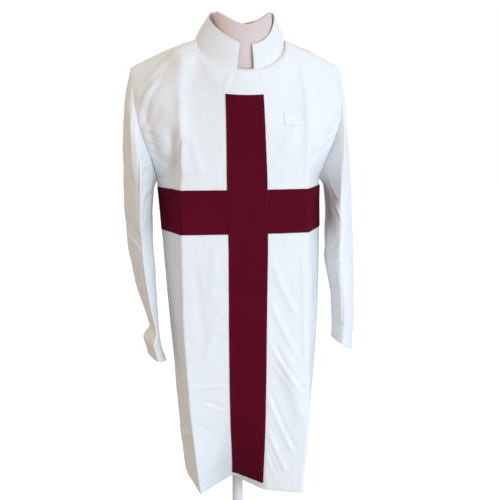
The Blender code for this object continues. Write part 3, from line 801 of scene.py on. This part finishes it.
@dataclass(frozen=True)
class PaleFloor:
    """A plain pale floor, which glows towards the camera and barely lights the cloth."""

    name: str = "pale_floor"
    colour: Colour = (0.36, 0.37, 0.38, 1.0)
    glow: Colour = (0.98, 1.0, 1.0, 1.0)
    dim: Colour = (0.10, 0.07, 0.05, 1.0)
    strength: float = 0.80

    def make(self) -> bpy.types.Material:
        """Builds the material."""
        book = Shader(bpy.data.materials.new(self.name))
        seen = book.node("ShaderNodeLightPath", {}, {}, "Is Camera Ray")
        book.set(Base_Color=self.colour, Roughness=0.9, Specular_IOR_Level=0.1,
                 Emission_Color=book.mix(seen, self.dim, self.glow),
                 Emission_Strength=self.strength)
        return book.owner


@dataclass
class Finishes:
    """Every material of the object."""

    white: bpy.types.Material
    maroon: bpy.types.Material
    white_thread: bpy.types.Material
    maroon_thread: bpy.types.Material
    form: bpy.types.Material
    stand: bpy.types.Material

    @classmethod
    def make(cls) -> "Finishes":
        """Builds them all."""
        return cls(
            white=WovenCotton("white_cotton", (0.86, 0.87, 0.88, 1.0),
                              (0.83, 0.84, 0.86, 1.0)).make(),
            maroon=WovenCotton("maroon_cotton", (0.112, 0.0030, 0.0150, 1.0),
                               (0.092, 0.0024, 0.0120, 1.0), sheen=0.0, gloss=0.05).make(),
            white_thread=SpunThread("white_thread", (0.84, 0.84, 0.85, 1.0)).make(),
            maroon_thread=SpunThread("maroon_thread", (0.11, 0.006, 0.018, 1.0)).make(),
            form=MouldedSkin().make(),
            stand=PowderCoat().make(),
        )


@dataclass
class Stitches:
    """Rows of short straight stitches that lie on the cloth."""

    name: str
    pitch: float = 0.0036
    length: float = 0.0026
    radius: float = 0.00030

    def along(self, lines: Sequence[Line], material: bpy.types.Material,
              slot: str = "white_cloth") -> bpy.types.Object:
        """Sews stitches along lines on the cloth.

        Args:
            lines: For each line, its points and the directions out of the cloth there.
            material: The thread.
            slot: The material slot of the cloth that they are sewn on; not used.

        Returns:
            The stitches, as one piece.
        """
        bm = bmesh.new()
        for points, normals in lines:
            far = walked(points, 0)
            count = max(2, int(far[-1] / self.pitch))
            stops = (np.arange(count) + 0.5) * far[-1] / count

            def read(values: np.ndarray, shift: float = 0.0) -> np.ndarray:
                """The values at the stitches, or a little before or past them."""
                return np.stack([np.interp(stops + shift, far, values[:, i]) for i in range(3)], -1)

            ways = unit(read(points, 0.001) - read(points, -0.001))
            for place, way, up in zip(read(points), ways, unit(read(normals))):
                side = unit(np.cross(up, way))
                turn = Matrix([way * self.length / 2.0, side * self.radius,
                               np.cross(way, side) * self.radius]).transposed().to_4x4()
                turn.translation = Vector(place + up * self.radius * 0.5)
                bmesh.ops.create_icosphere(bm, subdivisions=1, radius=1.0, matrix=turn)
        return make_object(self.name, bm, material)


@dataclass
class Panel:
    """The front or the back of the body."""

    name: str
    back: bool
    creases: tuple[Crease, ...]
    columns: int
    rows: int
    cut: BodyCut
    beside: float = 0.004

    def span(self) -> tuple[float, float]:
        """The panel's first and last place round the body."""
        return (1.0, 3.0) if self.back else (-1.0, 1.0)

    def grid(self, s: np.ndarray, t: np.ndarray) -> Grid:
        """The middle of the cloth at any places, with all its creases.

        Args:
            s: Places round the body, as a grid.
            t: Places up the body, as a grid.

        Returns:
            The points, in the same grid.
        """
        shape = s.shape
        points = self.cut.body(s.ravel(), t.ravel(), self.back).reshape(shape + (3,))
        base = Grid(s, points[..., 2], points)
        z = points[..., 2]
        first, last = self.span()
        edge = smooth_step(np.minimum(s - first, last - s) / 0.05)
        head = smooth_step((2.0 - t) / 0.03)
        lift = np.zeros(shape)
        for crease in LARGE_FOLDS + self.creases:
            lift = lift + crease.lift(s, z, S_SCALE)
        lift = lift * edge * head
        lift = lift + uneven(points, 0.060, 0.0014, 3.1 if self.back else 1.7) * edge
        lift = lift + uneven(points, 0.017, 0.0005, 9.4 if self.back else 6.2) * edge
        height = t * (ARMPIT_Z - HEM_Z)
        lift = lift + 0.0005 * smooth_step((HEM_WIDTH - height) / 0.0025)
        ripple = np.sin(s * 190.0) * 0.00025 + np.sin(s * 77.0 + 1.0) * 0.00025
        lift = lift + ripple * near(height - HEM_WIDTH, 0.006)
        seam = np.minimum(s - first, last - s) * S_SCALE
        lift = lift + (puckers(z, 520.0, 61.0, 0.00022) - 0.0004) * near(seam, 0.0040)
        crown = (2.0 - t) * YOKE_RISE
        lift = lift + puckers(s, 105.0, 17.0, 0.00022) * near(crown, 0.0045)
        return base.moved(lift + 0.0008 * near(crown - 0.0060, 0.0045))

    def line(self, s: Sequence[float], t: Sequence[float], out: float) -> Line:
        """A line on the panel's outer face, for stitches.

        Args:
            s: The line's first and last place round the body.
            t: Its first and last place up the body.
            out: How far the line lies out from the cloth's middle, in metres.

        Returns:
            The line's points, and the directions out of the cloth there.
        """
        share = np.linspace(0.0, 1.0, 241)
        line_s = s[0] + (s[1] - s[0]) * share
        line_t = t[0] + (t[1] - t[0]) * share
        upright = abs(s[1] - s[0]) < 0.05
        if upright:
            grid_s, grid_t = np.broadcast_arrays(line_s[:, None] + self.beside * BESIDE,
                                                 line_t[:, None])
        else:
            grid_s, grid_t = np.broadcast_arrays(line_s, line_t + self.beside * BESIDE[:, None])
        return self.grid(grid_s, np.clip(grid_t, 0.0, 2.0)).line(out, upright)

    def build(self, finishes: Finishes) -> bpy.types.Object:
        """Makes the panel.

        Args:
            finishes: The object's materials.

        Returns:
            The piece.
        """
        first, last = self.span()
        rise = ARMPIT_Z - HEM_Z
        share = np.linspace(0.0, 1.0, self.rows) * (rise + YOKE_RISE)
        t = np.where(share < rise, share / rise, 1.0 + (share - rise) / YOKE_RISE)
        s, t = np.meshgrid(np.linspace(first, last, self.columns), t)
        grid = self.grid(s, t).grown("left right head", 0.0005)
        return cloth_object(f"{self.name}_panel", self.name, grid, CLOTH, finishes.white)


def height_share(z: float) -> float:
    """The place up the body of a height below the armpits."""
    return (z - HEM_Z) / (ARMPIT_Z - HEM_Z)


@dataclass
class Strip:
    """A flat piece sewn onto the front: a band of the cross, or the pocket's welt."""

    name: str
    s: tuple[float, float]
    t: tuple[float, float]
    columns: int
    rows: int
    lift: float = 0.0014
    turned: tuple[float, float, float, float] = (1.0, 1.0, 1.0, 1.0)

    def build(self, panel: Panel, material: bpy.types.Material, slot: str) -> bpy.types.Object:
        """Makes the strip from the front's points moved out.

        Args:
            panel: The front.
            material: The strip's cloth.
            slot: The material slot of the strip's cloth; not used.

        Returns:
            The piece.
        """
        s, t = np.meshgrid(np.linspace(*self.s, self.columns), np.linspace(*self.t, self.rows))
        grid = panel.grid(s, t)
        left, foot = walked(grid.points, 1), walked(grid.points, 0)
        edges = (left, left[:, -1:] - left, foot, foot[-1:] - foot)
        lift = np.full(s.shape, self.lift)
        for share, edge in zip(self.turned, edges):
            roll = -0.00055 * smooth_step(1.0 - edge / 0.0011)
            lift = lift + share * (turned_edge(edge, 0.009, 0.0025) + roll)
        lift = lift + uneven(grid.points, 0.022, 0.00030, 4.4)
        lift = np.maximum(lift, CLOTH / 2.0 + TRIM / 2.0 + 0.0001)
        return cloth_object(f"{self.name}_cloth", self.name, grid.moved(lift), TRIM, material)


@dataclass
class Sleeve:
    """A long sleeve, empty and hanging from its armhole.

    Its skew leans the front ridge towards the body, and its ridge says how sharp that is.
    """

    side: float
    table: tuple[tuple[float, ...], ...]
    creases: tuple[Crease, ...]
    cut: BodyCut
    columns: int = 121
    rows: int = 181
    skew: float = 0.0
    ridge: float = 1.0
    length: float = 0.69
    scale: float = 0.075

    @property
    def name(self) -> str:
        """The sleeve's name."""
        return "sleeve_left" if self.side < 0.0 else "sleeve_right"

    def ring(self, share: np.ndarray, turn: np.ndarray) -> np.ndarray:
        """Points round the hanging sleeve.

        Args:
            share: How far down the sleeve, 0 to 1.
            turn: 0 at the outer edge, pi/2 in front and pi at the inner edge.

        Returns:
            The points.
        """
        shares = [row[0] for row in self.table]
        crisp = smooth_step((share - 0.78) / 0.06)
        outer_x, outer_z, inner_x, inner_z, depth, middle = (
            soft_interp(share, shares, values, 0.028) * (1.0 - crisp)
            + soft_interp(share, shares, values, 0.008) * crisp
            for values in ([row[1 + i] for row in self.table] for i in range(6)))
        flat = 1.0 + self.ridge * smooth_step(share / 0.3)
        across = np.sign(np.cos(turn)) * np.abs(np.cos(turn)) ** flat
        across = across - self.skew * smooth_step(share / 0.3) * np.clip(np.sin(turn), 0.0, None)
        return np.stack([self.side * (outer_x + inner_x + (outer_x - inner_x) * across) / 2.0,
                         middle - depth * np.sin(turn),
                         (outer_z + inner_z + (outer_z - inner_z) * across) / 2.0], axis=-1)

    def grid(self, share: np.ndarray, turn: np.ndarray) -> Grid:
        """The sleeve's cloth at any places, from the cuff up."""
        shape = share.shape
        flat_share, flat_turn = share.ravel(), turn.ravel()
        power = math.log(0.5) / math.log(0.47)
        half = 1.0 - np.minimum(flat_turn, math.tau - flat_turn) / math.pi
        place = np.clip(half, 0.0, 1.0) ** (1.0 / power)
        seam = np.where((flat_turn <= math.pi)[:, None],
                        self.cut.armhole(self.side, place, False),
                        self.cut.armhole(self.side, place, True))
        fade = np.clip(1.0 - flat_share / 0.28, 0.0, None) ** 2
        points = self.ring(flat_share, flat_turn)
        points = points + (seam - self.ring(np.zeros_like(flat_share), flat_turn)) * fade[:, None]
        points = points.reshape(shape + (3,))
        base = Grid(turn, -share * self.length, points)
        down = -share * self.length
        lift = np.zeros(shape)
        for crease in self.creases:
            for wrap in (-math.tau, 0.0, math.tau):
                lift = lift + crease.lift(turn + wrap, down, self.scale)
        head = smooth_step(share / 0.05)
        lift = lift + uneven(points, 0.045, 0.0016, 2.2 + self.side)
        lift = lift + uneven(points, 0.015, 0.0005, 7.2 + self.side)
        lift = lift * head
        cuff = (1.0 - share) * self.length
        lift = lift + 0.0005 * smooth_step((0.016 - cuff) / 0.0025)
        gather = puckers(turn, 37.0, 5.0, 0.00025)
        lift = lift + (gather - 0.0004) * near(share * self.length, 0.004)
        inner = np.abs(turn - math.pi) * self.scale
        lift = lift - 0.0007 * near(inner, 0.003) * head
        return base.moved(lift, True, -self.side)

    def line(self, share: float, out: float) -> Line:
        """A line round the sleeve's outer face, for stitches."""
        shares, turns = np.meshgrid(share - 0.006 * BESIDE, np.linspace(0.0, math.tau, 161),
                                    indexing="ij")
        return self.grid(shares, turns).line(out, closed=True, facing=-self.side)

    def build(self, finishes: Finishes) -> bpy.types.Object:
        """Makes the sleeve.

        Args:
            finishes: The object's materials.

        Returns:
            The piece.
        """
        share, turn = np.meshgrid(np.linspace(1.0, 0.0, self.rows),
                                  np.linspace(0.0, math.tau, self.columns), indexing="ij")
        grid = self.grid(share, turn).grown("head", 0.0006)
        if self.side > 0.0:
            grid = Grid(grid.across[:, ::-1], grid.up[:, ::-1], grid.points[:, ::-1])
        return cloth_object(f"{self.name}_cloth", self.name, grid, CLOTH, finishes.white,
                            scale=self.scale, closed=True)


LEFT_SLEEVE = (
    # share, outer x and z, inner x and z, half depth, middle y
    (0.00, 0.246, 1.402, 0.192, 1.147, 0.070, -0.010),
    (0.10, 0.262, 1.335, 0.200, 1.124, 0.076, -0.012),
    (0.25, 0.268, 1.235, 0.203, 1.078, 0.082, -0.015),
    (0.45, 0.268, 1.090, 0.204, 1.010, 0.081, -0.018),
    (0.60, 0.261, 0.985, 0.200, 0.940, 0.076, -0.022),
    (0.75, 0.240, 0.885, 0.197, 0.860, 0.070, -0.026),
    (0.88, 0.211, 0.798, 0.194, 0.794, 0.063, -0.030),
    (0.93, 0.230, 0.778, 0.190, 0.762, 0.060, -0.032),
    (1.00, 0.219, 0.738, 0.178, 0.720, 0.056, -0.034),
)

RIGHT_SLEEVE = (
    (0.00, 0.246, 1.402, 0.200, 1.147, 0.070, -0.010),
    (0.10, 0.257, 1.335, 0.212, 1.124, 0.076, -0.012),
    (0.25, 0.266, 1.235, 0.219, 1.078, 0.082, -0.015),
    (0.45, 0.277, 1.090, 0.217, 1.012, 0.081, -0.018),
    (0.60, 0.282, 0.985, 0.215, 0.945, 0.076, -0.022),
    (0.75, 0.284, 0.880, 0.230, 0.865, 0.070, -0.026),
    (0.88, 0.283, 0.792, 0.233, 0.804, 0.062, -0.030),
    (1.00, 0.279, 0.726, 0.231, 0.757, 0.056, -0.032),
)

# Places on a sleeve are (turn, metres down from the shoulder, as a negative height).
LEFT_SLEEVE_CREASES = (
    creases(Profile.SOFT,
            (0.9, -0.02, 1.0, -0.23, 12, 3, 6), (1.6, -0.05, 1.25, -0.26, 12, -2.6, 6),
            (0.1, -0.335, 1.45, -0.35, 12, -3.4, 4), (1.2, -0.42, 1.35, -0.6, 10, -3, 5),
            (0.3, -0.59, 1.5, -0.605, 10, -3), (0.3, -0.622, 1.45, -0.636, 9, 2),
            (1.8, -0.54, 1.5, -0.68, 8, 2.4), (4.6, -0.04, 4.4, -0.28, 12, 3.4, 6),
            (5.4, -0.06, 5.0, -0.24, 10, -3), (4.0, -0.34, 5.5, -0.36, 9, -3.6),
            (4.7, -0.5, 4.5, -0.67, 10, -2.6))
    + creases(Profile.LAPPED,
            (2.6, -0.03, 1.7, -0.19, 10, 3.4, 8), (2.8, -0.09, 1.9, -0.3, 10, 3, 8),
            (0.1, -0.365, 1.4, -0.378, 10, 2.6), (1.7, -0.47, 2.9, -0.52, 10, 2, -4),
            (3.6, -0.08, 4.4, -0.26, 10, 3.2, -6), (3.9, -0.43, 5.3, -0.47, 8, 2.8))
)

RIGHT_SLEEVE_CREASES = (
    creases(Profile.SOFT,
            (1.1, -0.02, 1.2, -0.2, 13, 3, -6), (3.0, -0.14, 2.2, -0.2, 14, 3.4),
            (1.3, -0.22, 1.5, -0.48, 14, -3, 6), (1.7, -0.34, 3.0, -0.375, 13, -2.8, -5),
            (1.9, -0.42, 2.1, -0.64, 11, 3.2, 5), (1.8, -0.61, 2.8, -0.6, 12, -2.2),
            (4.8, -0.03, 4.6, -0.3, 12, 3.4, -6), (5.5, -0.08, 5.1, -0.26, 10, -3),
            (4.1, -0.33, 5.6, -0.35, 9, -3.4), (4.6, -0.52, 4.7, -0.68, 10, -2.6))
    + creases(Profile.LAPPED,
            (2.7, -0.04, 1.9, -0.18, 10, 3.6, -8), (2.5, -0.11, 1.6, -0.28, 10, 3, -6),
            (1.75, -0.39, 2.9, -0.405, 10, 2.2), (1.8, -0.52, 2.9, -0.545, 11, 2),
            (3.7, -0.06, 4.5, -0.24, 10, 3.2, 6), (4.0, -0.45, 5.2, -0.49, 8, 2.8))
)


@dataclass
class Collar:
    """The stand collar, open in a notch at the centre front."""

    cut: BodyCut
    columns: int = 221
    rows: int = 25
    thickness: float = 0.0020
    notch: float = math.radians(10.5)
    top_x: float = 0.005
    top_half_width: float = 0.0745
    top_y: float = -0.043
    top_depths: tuple[float, float] = (0.058, 0.050)
    radius: float = 0.09
    height: float = 0.058
    weave_height: float = 0.060
    beside: float = 0.02
    tops: tuple[tuple[float, float], ...] = (
        # degrees round the neck from the centre front by the right, height of the top edge
        (10.5, 1.4536), (30, 1.4598), (50, 1.4772), (70, 1.5019), (90, 1.5233), (110, 1.5300),
        (130, 1.5200), (150, 1.5120), (180, 1.5040), (210, 1.5160), (230, 1.5320),
        (250, 1.5230), (270, 1.5141), (290, 1.5007), (310, 1.4850), (330, 1.4695),
        (349.5, 1.4549),
    )

    def grid(self, angle: np.ndarray, share: np.ndarray) -> Grid:
        """The collar's middle at any places: round the neck, and up it from 0 to 1."""
        turn = np.cos(angle)
        depth = np.where(turn > 0, *self.top_depths)
        foot = self.cut.neckline(angle)
        top_z = soft_interp(np.degrees(angle), [stop for stop, _ in self.tops],
                            [top for _, top in self.tops], 8.0)
        head = np.stack([self.top_x + self.top_half_width * np.sin(angle),
                         self.top_y - depth * turn, top_z], axis=-1)
        points = foot + (head - foot) * share[..., None]
        base = Grid(angle * self.radius, share * self.weave_height, points)
        edge = (np.minimum(angle, math.tau - angle) - self.notch) * self.radius
        top = (1.0 - share) * (top_z - foot[..., 2])
        lift = 0.0022 * np.sin(math.pi * share) * (1.0 + 0.4 * np.sin(angle * 3.0 + 0.6))
        for gap in (edge, top):
            lift = lift + turned_edge(gap, 0.008, 0.0028)
        lift = lift + uneven(points, 0.030, 0.0012, 5.5) * smooth_step(share / 0.2)
        return base.moved(lift)

    def lines(self, inset: float) -> list[Line]:
        """Lines along the collar's notch edges and its top, for stitches."""
        start = self.notch + inset / self.radius
        end = math.tau - start
        high = 1.0 - inset / self.height
        beside = self.beside * BESIDE
        out = self.thickness / 2.0
        lines = []
        for place in (start, end):
            grid = self.grid(*np.meshgrid(place + beside, np.linspace(0.04, high, 41)))
            lines.append(grid.line(out, upright=True))
        grid = self.grid(*np.meshgrid(np.linspace(start, end, 241), high + beside))
        return lines + [grid.line(out)]

    def build(self, finishes: Finishes) -> bpy.types.Object:
        """Makes the collar.

        Args:
            finishes: The object's materials.

        Returns:
            The piece.
        """
        angle, share = np.meshgrid(
            np.linspace(self.notch, math.tau - self.notch, self.columns),
            np.linspace(0.0, 1.0, self.rows))
        grid = self.grid(angle, share).grown("foot", 0.0004)
        return cloth_object("collar_cloth", "collar", grid, self.thickness, finishes.white,
                            scale=1.0)


@dataclass
class DressForm:
    """The limbless form: a smooth moulded torso and neck on a white pole and base."""

    sides: int = 96
    neck_rise: float = 0.032
    neck_rise_power: float = 1.5
    rings: tuple[tuple[float, ...], ...] = (
        # z, middle x, half width, half depth, middle y, how far the neck's sides rise
        (0.800, 0.0000, 0.1120, 0.082, -0.012, 0.0),
        (0.812, 0.0000, 0.1220, 0.091, -0.012, 0.0),
        (0.880, 0.0000, 0.1280, 0.096, -0.012, 0.0),
        (0.980, 0.0000, 0.1270, 0.092, -0.012, 0.0),
        (1.060, 0.0000, 0.1380, 0.092, -0.013, 0.0),
        (1.147, 0.0000, 0.1540, 0.093, -0.014, 0.0),
        (1.230, 0.0000, 0.1660, 0.088, -0.016, 0.0),
        (1.290, 0.0000, 0.1760, 0.078, -0.018, 0.0),
        (1.335, 0.0000, 0.1780, 0.064, -0.024, 0.0),
        (1.370, 0.0000, 0.1640, 0.058, -0.034, 0.0),
        (1.395, 0.0010, 0.1280, 0.0570, -0.0410, 0.0),
        (1.415, 0.0020, 0.0930, 0.0555, -0.0430, 0.0),
        (1.432, 0.0040, 0.0760, 0.0525, -0.0450, 0.0),
        (1.450, 0.0065, 0.0700, 0.0515, -0.0460, 0.2),
        (1.472, 0.0075, 0.0670, 0.0500, -0.0465, 0.6),
        (1.4925, 0.0075, 0.0670, 0.0480, -0.0460, 1.0),
        (1.4975, 0.0075, 0.0630, 0.0440, -0.0460, 1.0),
    )

    def build(self, finishes: Finishes) -> bpy.types.Object:
        """Makes the torso.

        Args:
            finishes: The object's materials.

        Returns:
            The torso, with its neck.
        """
        heights = [ring[0] for ring in self.rings]
        foot, rim, top = 0.812, 1.4925, 1.4975
        body = np.linspace(foot, rim, 100)
        _, middle_x, width, depth, middle_y, rise = (
            soft_interp(body, heights, [ring[i] for ring in self.rings], 0.009)
            if i else body for i in range(6))
        turns = np.sin(np.linspace(0.0, 0.5 * math.pi, 7))
        round_in = 1.0 - np.sqrt(1.0 - turns[1:] ** 2)
        levels = np.concatenate([foot - turns[:0:-1] * 0.010, body, rim + turns[1:] * (top - rim)])
        column = {"x": middle_x, "w": width, "d": depth, "y": middle_y, "r": rise}
        for key, values in column.items():
            inset = {"w": 1.0, "d": 1.0}.get(key, 0.0)
            column[key] = np.concatenate([values[0] - inset * 0.010 * round_in[::-1], values,
                                          values[-1] - inset * 0.005 * round_in])
        bm = bmesh.new()
        bmesh.ops.create_grid(bm, x_segments=self.sides, y_segments=len(levels) - 1, size=0.5)
        for vert in bm.verts:
            i = round((vert.co.y + 0.5) * (len(levels) - 1))
            angle = math.tau * round((vert.co.x + 0.5) * self.sides) / self.sides
            side = math.sin(angle)
            lift = column["r"][i] * self.neck_rise * abs(side) ** self.neck_rise_power
            vert.co = (column["x"][i] + column["w"][i] * side,
                       column["y"][i] - column["d"][i] * math.cos(angle), levels[i] + lift)
        bmesh.ops.remove_doubles(bm, verts=bm.verts[:], dist=1e-6)
        bmesh.ops.holes_fill(bm, edges=[e for e in bm.edges if e.is_boundary], sides=0)
        cap = max((face for face in bm.faces if len(face.verts) == self.sides),
                  key=lambda face: face.calc_center_median().z)
        behind = [vert for vert in cap.verts if vert.co.y > column["y"][-1] + 1e-6]
        for vert in [v for v in cap.verts if v.co.y < column["y"][-1] - 1e-6]:
            other = min(behind, key=lambda place: abs(place.co.x - vert.co.x))
            bmesh.ops.connect_vert_pair(bm, verts=[vert, other])
        bmesh.ops.recalc_face_normals(bm, faces=bm.faces[:])
        return make_object("torso", bm, finishes.form, "form_torso")

    def build_stand(self, finishes: Finishes) -> list[bpy.types.Object]:
        """Makes the pole and the base.

        Args:
            finishes: The object's materials.

        Returns:
            The pole and the base.
        """
        pieces = []
        for name, radius, low, high, rounding in (("pole", 0.0125, 0.0183, 0.7997, 0.0010),
                                                  ("base", 0.160, 0.0, 0.018, 0.0030)):
            bm = bmesh.new()
            bmesh.ops.create_cone(bm, cap_ends=True, segments=128, radius1=radius,
                                  radius2=radius, depth=high - low)
            bmesh.ops.translate(bm, verts=bm.verts[:], vec=(0.0, 0.0, (low + high) / 2.0))
            rims = [e for e in bm.edges if abs(e.verts[0].co.z - e.verts[1].co.z) < 1e-6]
            bmesh.ops.bevel(bm, geom=rims, offset=rounding, segments=4, profile=0.5,
                            affect="EDGES", material=-1)
            pieces.append(make_object(name, bm, finishes.stand, f"form_{name}"))
        return pieces


@dataclass
class Studio:
    """The floor, the soft light from all round, one key light and the camera."""

    warm: Colour = (0.80, 0.68, 0.55, 1.0)
    cool: Colour = (0.87, 0.91, 0.95, 1.0)

    def build(self) -> None:
        """Makes them all."""
        scene = bpy.context.scene
        bm = bmesh.new()
        bmesh.ops.create_grid(bm, x_segments=1, y_segments=1, size=12.0)
        floor = bpy.data.meshes.new("floor")
        bm.to_mesh(floor)
        bm.free()
        floor.materials.append(PaleFloor().make())
        ground = bpy.data.objects.new("floor", floor)
        scene.collection.objects.link(ground)
        ground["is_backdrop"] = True
        self.world(scene)
        self.lamp("key", (1.5, -2.9, 1.0), (0.0, 0.0, 0.80), 1.1, 56.0, (0.63, 0.79, 0.95))
        self.camera(scene)

    def world(self, scene: bpy.types.Scene) -> None:
        """Soft light from all round, warm and low from the left, and white behind the object."""
        scene.world = bpy.data.worlds.new("studio")
        book = Shader(scene.world)
        way = book.node("ShaderNodeTexCoord", {}, {}, "Generated")
        across = book.node("ShaderNodeSeparateXYZ", {}, {0: way})
        share = book.node("ShaderNodeMapRange", {},
                          {"Value": across, "From Min": -0.6, "From Max": 0.6})
        soft = book.node("ShaderNodeBackground", {},
                         {"Color": book.mix(share, self.warm, self.cool)})
        plain = book.node("ShaderNodeBackground", {}, {"Color": (1.0, 1.0, 1.0, 1.0)})
        seen = book.node("ShaderNodeLightPath", {}, {}, "Is Camera Ray")
        blend = book.node("ShaderNodeMixShader", {}, {0: seen, 1: soft, 2: plain})
        book.feed(book.tree.nodes["World Output"].inputs["Surface"], blend)

    def lamp(self, name: str, place: Sequence[float], target: Sequence[float], size: float,
             energy: float, colour: Sequence[float]) -> None:
        """A square soft light.

        Args:
            name: The light's name.
            place: Where it stands.
            target: What it faces.
            size: The length of its sides.
            energy: Its power.
            colour: Its colour.
        """
        light = bpy.data.lights.new(name, "AREA")
        light.size = size
        light.energy = energy
        light.color = colour
        lamp = bpy.data.objects.new(name, light)
        lamp.location = place
        way = Vector(target) - Vector(place)
        lamp.rotation_euler = way.to_track_quat("-Z", "Y").to_euler()
        bpy.context.scene.collection.objects.link(lamp)

    def camera(self, scene: bpy.types.Scene) -> None:
        """The camera, a little to the left and looking slightly down."""
        lens = bpy.data.cameras.new("camera")
        lens.lens = 69.55
        lens.sensor_width = 36.0
        camera = bpy.data.objects.new("camera", lens)
        camera.location = (-0.36, -2.27, 1.33)
        camera.rotation_euler = Euler((math.radians(81.17), 0.0, math.radians(-9.79)))
        scene.collection.objects.link(camera)
        scene.camera = camera
        scene.view_settings.view_transform = "Standard"


@dataclass
class Cross:
    """The maroon cross sewn on the front, and the pocket's welt beside it."""

    front: Panel
    finishes: Finishes
    band: tuple[float, float] = (S_BAND_LEFT, S_BAND_RIGHT)
    tucked: float = 0.02
    arms: tuple[float, float] = (height_share(1.030), height_share(1.130))
    upright: tuple[float, float] = (height_share(0.435), 1.74)
    upright_lift: float = 0.0019
    arm_lift: float = 0.0014
    inset: float = 0.0028
    top_inset: float = 0.011

    def build(self) -> list[bpy.types.Object]:
        """Makes the upright, the left arm, the right arm and the welt."""
        first, last = self.band
        strips = (
            Strip("cross_upright", self.band, self.upright, 49, 241, self.upright_lift),
            Strip("cross_arm_left", (-0.999, first + self.tucked), self.arms, 101, 33,
                  self.arm_lift, (1.0, 0.0, 1.0, 1.0)),
            Strip("cross_arm_right", (last - self.tucked, 0.999), self.arms, 101, 33,
                  self.arm_lift, (0.0, 1.0, 1.0, 1.0)),
        )
        pieces = [strip.build(self.front, self.finishes.maroon, "maroon_cloth")
                  for strip in strips]
        welt = Strip("pocket_welt", (S_POCKET, S_FOLD), (1.47, 1.58), 41, 17)
        return pieces + [welt.build(self.front, self.finishes.white, "white_cloth")]

    def sew(self) -> list[bpy.types.Object]:
        """Makes the stitches of the upright, the left arm and the right arm."""
        first, last = self.band
        inset, rim = self.inset / S_SCALE, self.inset / (ARMPIT_Z - HEM_Z)
        foot, top = self.upright
        rows = {
            "upright": [((first + inset,) * 2, self.upright), ((last - inset,) * 2, self.upright),
                        (self.band, (foot + rim,) * 2), (self.band, (top - self.top_inset,) * 2)],
            "left_arm": [((-0.99, first), (self.arms[0] + rim,) * 2),
                         ((-0.99, first), (self.arms[1] - rim,) * 2)],
            "right_arm": [((last, 0.99), (self.arms[0] + rim,) * 2),
                          ((last, 0.99), (self.arms[1] - rim,) * 2)],
        }
        pieces = []
        for name, ends in rows.items():
            lift = self.upright_lift if name == "upright" else self.arm_lift
            lines = [self.front.line(s, t, lift + TRIM / 2.0) for s, t in ends]
            pieces.append(Stitches(f"{name}_stitches").along(lines, self.finishes.maroon_thread,
                                                             "maroon_cloth"))
        return pieces


def main() -> None:
    """Builds every piece, the floor, the lights and the camera."""
    logging.basicConfig(level=logging.INFO, format="%(name)s: %(message)s")
    finishes = Finishes.make()
    cut = BodyCut()
    form = DressForm()
    torso = form.build(finishes)
    form.build_stand(finishes)
    panels = (Panel("front", False, FRONT_CREASES, 161, 281, cut),
              Panel("back", True, BACK_CREASES, 121, 221, cut))
    front, back = (panel.build(finishes) for panel in panels)
    sleeves = (Sleeve(-1.0, LEFT_SLEEVE, LEFT_SLEEVE_CREASES, cut),
               Sleeve(1.0, RIGHT_SLEEVE, RIGHT_SLEEVE_CREASES, cut, skew=0.55, ridge=0.45))
    left, right = (sleeve.build(finishes) for sleeve in sleeves)
    collar_cut = Collar(cut)
    collar = collar_cut.build(finishes)
    cross = Cross(panels[0], finishes)
    upright, arm_left, arm_right, welt = cross.build()

    hem = (HEM_WIDTH / (ARMPIT_Z - HEM_Z),) * 2
    out = CLOTH / 2.0
    front_lines = [panels[0].line((-0.995, 0.995), hem, out),
                   panels[0].line((0.52, 0.995), (1.962, 1.962), out),
                   panels[0].line((S_POCKET + 0.01, S_FOLD - 0.01), (1.488, 1.488), 0.0021)]
    back_lines = [panels[1].line((1.005, 2.995), hem, out)]
    thread = finishes.white_thread
    front_sewing = Stitches("front_stitches").along(front_lines, thread)
    back_sewing = Stitches("back_stitches").along(back_lines, thread)
    upright_sewing, left_sewing, right_sewing = cross.sew()
    left_cuff, right_cuff = (
        Stitches(f"{sleeve.name}_stitches").along(
            [sleeve.line(1.0 - 0.016 / sleeve.length, out)], thread) for sleeve in sleeves)
    collar_sewing = Stitches("collar_stitches").along(collar_cut.lines(0.0032), thread)

    sheets = (
        (front, (0.62, 1.06), 0.575, "hung", torso, [front_sewing]),
        (back, (0.62, 1.06), 0.56, "hung", torso, [back_sewing]),
        (left, (0.38, 0.69), 0.18, "hung", front, [left_cuff]),
        (right, (0.38, 0.69), 0.18, "hung", front, [right_cuff]),
        (collar, (0.50, 0.062), None, "hung", front, [collar_sewing]),
        (upright, (0.089, 0.92), None, "stretched", front, [upright_sewing]),
        (arm_left, (0.238, 0.100), None, "stretched", front, [left_sewing]),
        (arm_right, (0.238, 0.100), None, "stretched", front, [right_sewing]),
        (welt, (0.066, 0.027), None, "stretched", front, []),
    )
    for piece, flat, area, held, under, sewing in sheets:
        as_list(sewing)

    Studio().build()
    sizes = {"cad": CAD_BOX, "visual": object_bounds()}
    plain = {key: [[float(x) for x in corner] for corner in box] for key, box in sizes.items()}


if __name__ == "__main__":
    main()
